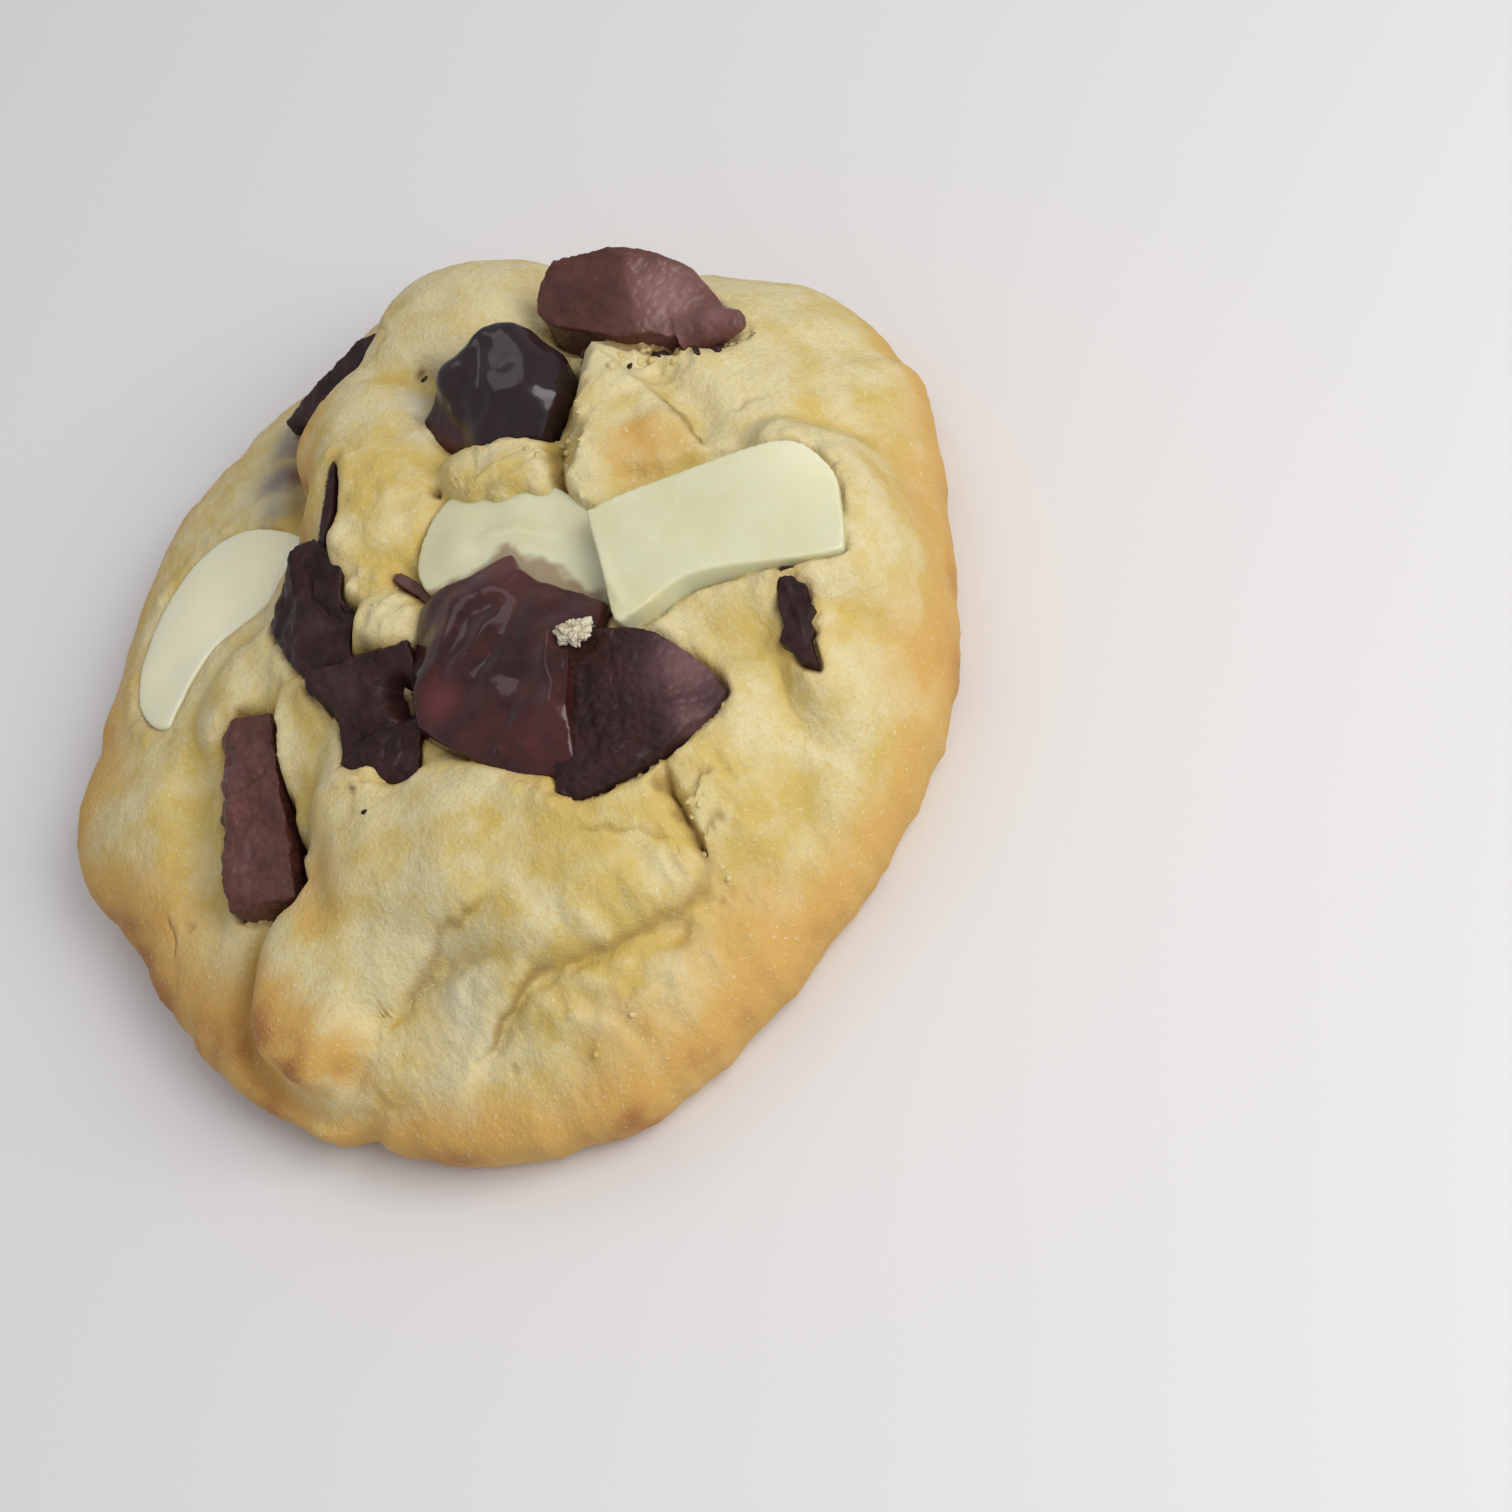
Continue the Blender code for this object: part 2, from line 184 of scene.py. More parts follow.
def feed(tree, value, socket):
    # links a socket, or sets a number or a colour
    if isinstance(value, bpy.types.NodeSocket):
        tree.links.new(value, socket)
    elif isinstance(value, tuple) and len(value) == 3 and socket.type == "RGBA":
        socket.default_value = (*value, 1)
    else:
        socket.default_value = value


def mixColours(tree, share, first, second):
    node = addNode(tree, "ShaderNodeMix", data_type="RGBA")
    for index, value in ((0, share), (6, first), (7, second)):
        feed(tree, value, node.inputs[index])
    return node.outputs[2]


def calculate(tree, operation, first, second=0.0, clamp=False):
    node = addNode(tree, "ShaderNodeMath", operation=operation, use_clamp=clamp)
    feed(tree, first, node.inputs[0])
    feed(tree, second, node.inputs[1])
    return node.outputs[0]


def rampValue(tree, socket, low, high, outLow=0.0, outHigh=1.0):
    node = addNode(tree, "ShaderNodeMapRange", interpolation_type="SMOOTHSTEP")
    tree.links.new(socket, node.inputs["Value"])
    for name, value in (("From Min", low), ("From Max", high), ("To Min", outLow), ("To Max", outHigh)):
        node.inputs[name].default_value = value
    return node.outputs["Result"]


def startGroup(name, inputs, outputs):
    group = bpy.data.node_groups.new(name, "ShaderNodeTree")
    for label, value in inputs.items():
        socket = group.interface.new_socket(label, in_out="INPUT", socket_type="NodeSocketFloat")
        socket.default_value = value
    for label in outputs:
        group.interface.new_socket(label, in_out="OUTPUT", socket_type="NodeSocketFloat")
    return group, group.nodes.new("NodeGroupInput"), group.nodes.new("NodeGroupOutput")


def noiseSocket(tree, scale, detail=2.0, roughness=0.55):
    # noise in object space; scale is a socket, or bumps per metre
    coordinates = tree.nodes.new("ShaderNodeTexCoord")
    texture = tree.nodes.new("ShaderNodeTexNoise")
    texture.inputs["Detail"].default_value = detail
    texture.inputs["Roughness"].default_value = roughness
    tree.links.new(coordinates.outputs["Object"], texture.inputs["Vector"])
    feed(tree, scale, texture.inputs["Scale"])
    return texture.outputs[0]


def makeGrainGroup():
    # fine grain: a height for Bump, a mask of the grain's low places and one of its brightest crystals
    inputs = {"Grains per metre": 2500.0, "Coarse share": 0.5}
    group, given, result = startGroup("fine grain", inputs, ("Height", "Hollows", "Crystals"))
    perMetre = given.outputs["Grains per metre"]
    fine = noiseSocket(group, perMetre, 3.0, 0.65)
    coarse = noiseSocket(group, calculate(group, "MULTIPLY", perMetre, 0.30), 3.0, 0.6)
    coarse = calculate(group, "MULTIPLY", coarse, given.outputs["Coarse share"])
    group.links.new(calculate(group, "ADD", fine, coarse), result.inputs["Height"])
    group.links.new(rampValue(group, fine, 0.45, 0.30), result.inputs["Hollows"])
    group.links.new(rampValue(group, fine, 0.60, 0.72), result.inputs["Crystals"])
    return group


def makeMottleGroup():
    # soft patches, 0 to 1, and sparse specks
    group, given, result = startGroup("mottling", {"Patches per metre": 300.0}, ("Patches", "Specks"))
    perMetre = given.outputs["Patches per metre"]
    patches = noiseSocket(group, perMetre, 4.0, 0.6)
    group.links.new(rampValue(group, patches, 0.34, 0.68), result.inputs["Patches"])
    small = noiseSocket(group, calculate(group, "MULTIPLY", perMetre, 6.0), 1.0, 0.5)
    group.links.new(rampValue(group, small, 0.64, 0.74), result.inputs["Specks"])
    return group


grainGroup = makeGrainGroup()
mottleGroup = makeMottleGroup()


def addGroup(tree, group, **values):
    node = addNode(tree, "ShaderNodeGroup", node_tree=group)
    for name, value in values.items():
        node.inputs[name.replace("_", " ")].default_value = value
    return node


def startMaterial(name, shaderValues):
    material = bpy.data.materials.new(name)
    material.use_nodes = True
    shader = material.node_tree.nodes["Principled BSDF"]
    for label, value in shaderValues.items():
        feed(material.node_tree, value, shader.inputs[label])
    return material, material.node_tree, shader


def linkBump(tree, shader, height, strength, distance):
    bump = tree.nodes.new("ShaderNodeBump")
    bump.inputs["Strength"].default_value = strength
    bump.inputs["Distance"].default_value = distance * mm
    tree.links.new(height, bump.inputs["Height"])
    tree.links.new(bump.outputs["Normal"], shader.inputs["Normal"])


def maskSocket(tree, name):
    return addNode(tree, "ShaderNodeAttribute", attribute_name=name).outputs["Fac"]


doughLook = {
    "cream": (0.69, 0.60, 0.33),
    "yellow": (0.60, 0.45, 0.13),
    "golden": (0.62, 0.37, 0.10),
    "brown": (0.40, 0.17, 0.05),
    "crystal": (0.86, 0.80, 0.58),
    # crevice: painted shade in cracks, cavities, pits, crumb holes and in the gap round white chocolate
    "paintedCreviceShade": (0.24, 0.13, 0.04),
    "cocoaStainAndPaintedShade": (0.11, 0.034, 0.024),
    "milky": (0.20, 0.195, 0.19),
    "pale": (0.66, 0.62, 0.47),
    "grains": 2700.0,
    "patches": 260.0,
    "bump": 0.8,
    "bumpHeight": 0.18,
}


def makeDoughMaterial(name, look):
    shaderValues = {
        "Subsurface Weight": 0.10,
        "Subsurface Radius": (1.0, 0.5, 0.2),
        "Subsurface Scale": 1.0 * mm,
        "Specular IOR Level": 0.30,
    }
    material, tree, shader = startMaterial(name, shaderValues)
    grain = addGroup(tree, grainGroup, Grains_per_metre=look["grains"], Coarse_share=0.35)
    mottle = addGroup(tree, mottleGroup, Patches_per_metre=look["patches"])
    patches = calculate(tree, "MULTIPLY", mottle.outputs["Patches"], 0.8)
    yellow = calculate(tree, "SUBTRACT", maskSocket(tree, "yellow"), 0.40)
    yellow = calculate(tree, "ADD", yellow, patches, clamp=True)
    colour = mixColours(tree, yellow, look["cream"], look["yellow"])
    browned = maskSocket(tree, "browned")
    colour = mixColours(tree, rampValue(tree, browned, 0.0, 0.55), colour, look["golden"])
    colour = mixColours(tree, rampValue(tree, browned, 0.5, 1.0), colour, look["brown"])
    specks = calculate(tree, "MULTIPLY", mottle.outputs["Specks"], 0.30)
    colour = mixColours(tree, specks, colour, look["golden"])
    hollows = calculate(tree, "MULTIPLY", grain.outputs["Hollows"], 0.60)
    colour = mixColours(tree, hollows, colour, look["yellow"])
    crystals = calculate(tree, "MULTIPLY", grain.outputs["Crystals"], 0.45)
    colour = mixColours(tree, crystals, colour, look["crystal"])
    # mixes in the pale and milky films, the painted shade of crevices, and the cocoa stain with the painted
    # shade in cavities
    for mask in ("pale", "milky", "paintedCreviceShade", "cocoaStainAndPaintedShade"):
        colour = mixColours(tree, maskSocket(tree, mask), colour, look[mask])
    tree.links.new(colour, shader.inputs["Base Color"])
    roughness = rampValue(tree, mottle.outputs["Patches"], 0.0, 1.0, 0.60, 0.78)
    tree.links.new(roughness, shader.inputs["Roughness"])
    linkBump(tree, shader, grain.outputs["Height"], look["bump"], look["bumpHeight"])
    return material


chocolateLooks = {
    "milk chocolate": {
        "colour": (0.125, 0.043, 0.031), "second": (0.085, 0.029, 0.021), "bloom": (0.36, 0.19, 0.19),
        "roughness": (0.34, 0.50), "grains": 2600.0, "bump": 0.30, "patches": 420.0, "coat": 0.0,
        "scatter": 0.0, "specular": 0.36,
    },
    "dark chocolate": {
        "colour": (0.038, 0.014, 0.012), "second": (0.018, 0.007, 0.006), "bloom": (0.18, 0.09, 0.095),
        "roughness": (0.38, 0.58), "grains": 2800.0, "bump": 0.35, "patches": 450.0, "coat": 0.0,
        "scatter": 0.0, "specular": 0.22,
    },
    "glossy dark chocolate": {
        "colour": (0.012, 0.006, 0.007), "second": (0.022, 0.008, 0.010), "bloom": (0.07, 0.015, 0.02),
        "roughness": (0.20, 0.30), "grains": 900.0, "bump": 0.06, "patches": 260.0, "coat": 0.35,
        "scatter": 0.0, "specular": 0.30,
    },
    "melted chocolate": {
        "colour": (0.026, 0.007, 0.007), "second": (0.070, 0.017, 0.014), "bloom": (0.15, 0.03, 0.035),
        "roughness": (0.16, 0.26), "grains": 800.0, "bump": 0.06, "patches": 240.0, "coat": 0.40,
        "scatter": 0.0, "specular": 0.20,
    },
    "white chocolate": {
        "colour": (0.68, 0.68, 0.46), "second": (0.67, 0.64, 0.38), "bloom": (0.92, 0.89, 0.62),
        "roughness": (0.28, 0.40), "grains": 1200.0, "bump": 0.04, "patches": 180.0, "coat": 0.0,
        "scatter": 0.4, "specular": 0.5,
    },
}  # fmt: skip
filmColour = (0.27, 0.17, 0.08)


def makeChocolateMaterial(name, look):
    shaderValues = {
        "Subsurface Weight": look["scatter"],
        "Subsurface Radius": (1.0, 0.8, 0.4),
        "Subsurface Scale": 2.0 * mm,
        "Coat Weight": look["coat"],
        "Coat Roughness": 0.05,
        "Specular IOR Level": look["specular"],
    }
    material, tree, shader = startMaterial(name, shaderValues)
    grain = addGroup(tree, grainGroup, Grains_per_metre=look["grains"], Coarse_share=1.0)
    mottle = addGroup(tree, mottleGroup, Patches_per_metre=look["patches"])
    colour = mixColours(tree, mottle.outputs["Patches"], look["colour"], look["second"])
    dust = calculate(tree, "MULTIPLY", mottle.outputs["Specks"], 0.10)
    colour = mixColours(tree, dust, colour, look["bloom"])
    # the bloom mask mixes in pale bloom and, on some faces, painted sheen and painted light
    colour = mixColours(tree, maskSocket(tree, "bloom"), colour, look["bloom"])
    colour = mixColours(tree, maskSocket(tree, "film"), colour, filmColour)
    tree.links.new(colour, shader.inputs["Base Color"])
    low, high = look["roughness"]
    roughness = rampValue(tree, mottle.outputs["Patches"], 0.0, 1.0, low, high)
    tree.links.new(roughness, shader.inputs["Roughness"])
    linkBump(tree, shader, grain.outputs["Height"], look["bump"], 0.08)
    return material


doughMaterial = makeDoughMaterial("baked dough", doughLook)
chocolateMaterials = {name: makeChocolateMaterial(name, look) for name, look in chocolateLooks.items()}
print("stage: materials made")


def dressPiece(piece, material, node=None):
    piece.data.materials.clear()
    piece.data.materials.append(material)
    if node:
        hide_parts(node)
    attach(piece, "root")
    return piece


# Dough relief: the outline, the mounds and the height of the cookie's top at any place in plan
# cells: faces along each side of the grid; widestHeight: the height at which the cookie is widest
# baseTop, baseCrown: height of the plain top at the rim, and how much higher it is in the middle
# edgeRoundness, bankRoundness: powers of the rounded rim, larger for a blunter one
# bankReach, bankBlend: how far round its line a bank lifts the dough, and how softly
# edgeCrowding: how much the grid is drawn towards the rim; blend: how softly the mounds join

dough = {
    "cells": 299,
    "radius": 40.0,
    "widestHeight": 4.5,
    "baseTop": 11.5,
    "baseCrown": 3.0,
    "edgeRoundness": 2.8,
    "bankRoundness": 4.5,
    "bankReach": 4.8,
    "bankBlend": 0.3,
    "edgeCrowding": 0.12,
    "blend": 0.9,
    "notch": (223.2, 2.4, 0.9),  # angle, half width in degrees, depth
    # drop, share of the last ring
    "undersideRings": ((-2.3, 0.988), (-1.6, 0.972), (-0.6, 0.969), (0.0, 0.96)),
}

# The outline in plan: share of the radius every 15 degrees, anticlockwise from +X
outlineShares = (
    1.019, 1.039, 0.998, 0.937, 1.033, 1.080, 1.005, 0.989,
    0.993, 0.966, 0.985, 1.046, 0.992, 1.016, 1.056, 1.067,
    1.081, 1.074, 1.003, 0.951, 0.937, 0.942, 0.925, 0.945,
)  # fmt: skip

# x, y, half length, half width, turn in degrees, foot height, top height, squareness
mounds = {
    "middle": (7.0, -1.8, 28.5, 27.0, 0, 8.5, 18.8, 3.6),
    "front fold": (-6.0, -21.9, 17.5, 8.8, -30, 11.0, 21.0, 3.4),
    "front lobe": (-25.6, -17.6, 10.8, 6.0, 54, 7.5, 17.3, 3.6),
    "fold corner": (-17.6, -19.8, 8.5, 5.3, -6, 10.0, 18.0, 3.2),
    "front slope": (-23.0, -26.6, 6.0, 4.8, 40, 7.0, 12.8, 2.2),
    "front valley": (-21.5, -31.0, 8.5, 5.4, 30, 3.0, 10.0, 2.0),
    "front rim lobe": (-25.6, -32.8, 6.5, 6.0, 0, 1.0, 7.5, 2.0),
    "right mass": (15.0, -21.3, 16.5, 12.5, -40, 6.0, 19.8, 2.3),
    "right shoulder": (26.0, -15.8, 11.5, 9.0, -50, 8.0, 18.6, 2.4),
    "far right mass": (26.0, -2.8, 17.0, 12.0, -65, 7.0, 19.7, 2.4),
    "far right dome": (29.0, 7.7, 13.0, 10.8, 75, 6.0, 19.0, 2.8),
    "far lobe": (13.0, 27.9, 12.0, 11.0, 0, 5.0, 21.6, 2.5),
    "below slab": (19.0, -18.8, 10.0, 5.4, -27, 14.0, 19.7, 3.0),
    "chunk foot": (10.0, -26.6, 8.0, 4.6, 30, 14.0, 19.6, 2.8),
    "bridge": (8.2, 6.6, 7.0, 4.2, -40, 12.0, 21.8, 4.4),
    "left mound": (-1.3, 14.9, 15.0, 8.0, 66, 8.0, 22.0, 2.8),
    "left mound far": (-0.3, 22.6, 9.6, 6.6, 50, 8.0, 20.2, 2.8),
    "nub": (-6.6, 1.5, 4.1, 3.6, 60, 14.0, 21.5, 2.3),
    "left shoulder": (-16.5, -10.8, 10.0, 5.2, 62, 8.0, 19.2, 2.8),
    "left strip": (-19.0, 9.7, 8.5, 4.5, 30, 7.0, 16.0, 2.2),
    "left mass": (-32.5, 1.2, 13.0, 11.0, 80, 2.0, 13.5, 2.4),
}

# Ridges with two sloping sides: the ridge line (x, y, height), and the fall per mm on its left and right side
ridgeTents = {
    "peak": (((20.2, 11.6, 22.4), (18.8, 8.4, 23.2), (16.0, 4.2, 23.2), (13.4, 0.6, 22.2),
        (13.0, -2.0, 20.8)), 0.30, 1.5),
    "second fold": (((-26.0, -25.6, 11.8), (-20.0, -26.8, 13.8), (-15.0, -27.3, 15.6),
        (-10.0, -27.8, 17.4), (-4.0, -28.4, 18.4)), 0.45, 0.42),
}  # fmt: skip

# Banks of dough that hold a piece of chocolate near the rim, drawn like the ridges
banks = {
    "slab edge": (
        (
            (8.4, -13.4, 20.6), (12.1, -15.0, 20.4), (15.2, -14.9, 20.5), (20.5, -17.0, 20.9),
            (24.0, -18.8, 21.9), (27.0, -19.2, 22.9), (29.2, -16.2, 23.2), (30.2, -12.6, 22.7),
            (30.2, -9.0, 22.3), (28.0, -6.4, 21.7),
        ),
        0.30, 0.25,
    ),
    "splinter": (((22.6, -17.8, 20.7), (21.3, -21.0, 20.4), (20.0, -25.6, 20.4)), 0.25, 0.25),
    "chunk edge": (((14.2, -22.5, 19.6), (11.8, -25.0, 19.7), (6.6, -25.9, 20.0), (1.0, -25.5, 20.0),
        (-2.8, -24.2, 20.0)), 0.22, 0.30),
}  # fmt: skip


def outlineAt(angle):
    # the outline's radius at each angle, on a smooth closed curve through the shares, with one small notch
    place = angle / (2 * math.pi) * len(outlineShares)
    index = np.floor(place).astype(int)
    t = place - index
    shares = np.array(outlineShares)
    before, start, end, after = (shares[(index + step) % len(shares)] for step in (-1, 0, 1, 2))
    bend = 3 * (start - end) + after - before
    curve = start + 0.5 * t * (end - before + t * (2 * before - 5 * start + 4 * end - after + t * bend))
    notchAngle, notchWidth, notchDepth = dough["notch"]
    away = (np.degrees(angle) - notchAngle + 180) % 360 - 180
    return dough["radius"] * curve - notchDepth * np.exp(-((away / notchWidth) ** 2))


def moundHeights(xy, mound):
    x, y, halfLength, halfWidth, turn, foot, top, squareness = mound
    turn = math.radians(turn)
    along = (xy[:, 0] - x) * math.cos(turn) + (xy[:, 1] - y) * math.sin(turn)
    across = (xy[:, 1] - y) * math.cos(turn) - (xy[:, 0] - x) * math.sin(turn)
    reach = np.hypot(along / halfLength, across / halfWidth)
    inside = foot + (top - foot) * np.maximum(0, 1 - reach**squareness) ** (1 / squareness)
    return np.where(reach >= 1, foot - (reach - 1) * halfWidth, inside)


def tentHeights(xy, tent):
    ridge, leftFall, rightFall = tent
    ridge = np.array(ridge)
    gap, along, _, side = pathPlaces(xy, ridge[:, :2])
    top = np.interp(along, np.linspace(0, 1, len(ridge)), ridge[:, 2])
    return top - np.where(side > 0, leftFall, rightFall) * np.maximum(0, gap - 0.3)


def moundRelief(xy):
    crown = dough["baseCrown"] * (1 - (xy**2).sum(axis=1) / dough["radius"] ** 2)
    heights = [dough["baseTop"] + crown]
    heights += [moundHeights(xy, mound) for mound in mounds.values()]
    ragged = 0.45 * np.column_stack([roughValues(flatPlaces(xy), 1.8, seed, 2) for seed in (11, 12)])
    heights += [tentHeights(xy + ragged, tent) for tent in ridgeTents.values()]
    heights = np.array(heights)
    highest = heights.max(axis=0)
    blend = dough["blend"]
    return highest + blend * np.log(np.exp((heights - highest) / blend).sum(axis=0))


def edgeRounded(height, share, roundness=dough["edgeRoundness"]):
    edge = np.maximum(0, 1 - share**roundness) ** (1 / roundness)
    return dough["widestHeight"] + (height - dough["widestHeight"]) * edge


def bankLift(xy, z, share):
    # how far the banks lift the dough: fully on their lines, not at all beyond their reach or at the rim
    lift = np.zeros(len(xy))
    blend = dough["bankBlend"]
    for bank in banks.values():
        gap = pathPlaces(xy, np.array(bank[0])[:, :2])[0]
        top = edgeRounded(tentHeights(xy, bank), share, dough["bankRoundness"])
        near = smoothStep(gap, dough["bankReach"], 1.0)
        lift = np.maximum(lift, blend * np.logaddexp(0, (top - z) / blend) * near)
    return lift * smoothStep(share, 1.0, 0.97)


def plainTop(xy):
    # the dough's height without its cracks and grain
    share = np.hypot(xy[:, 0], xy[:, 1]) / outlineAt(np.arctan2(xy[:, 1], xy[:, 0]))
    return edgeRounded(moundRelief(xy), np.minimum(share, 1))
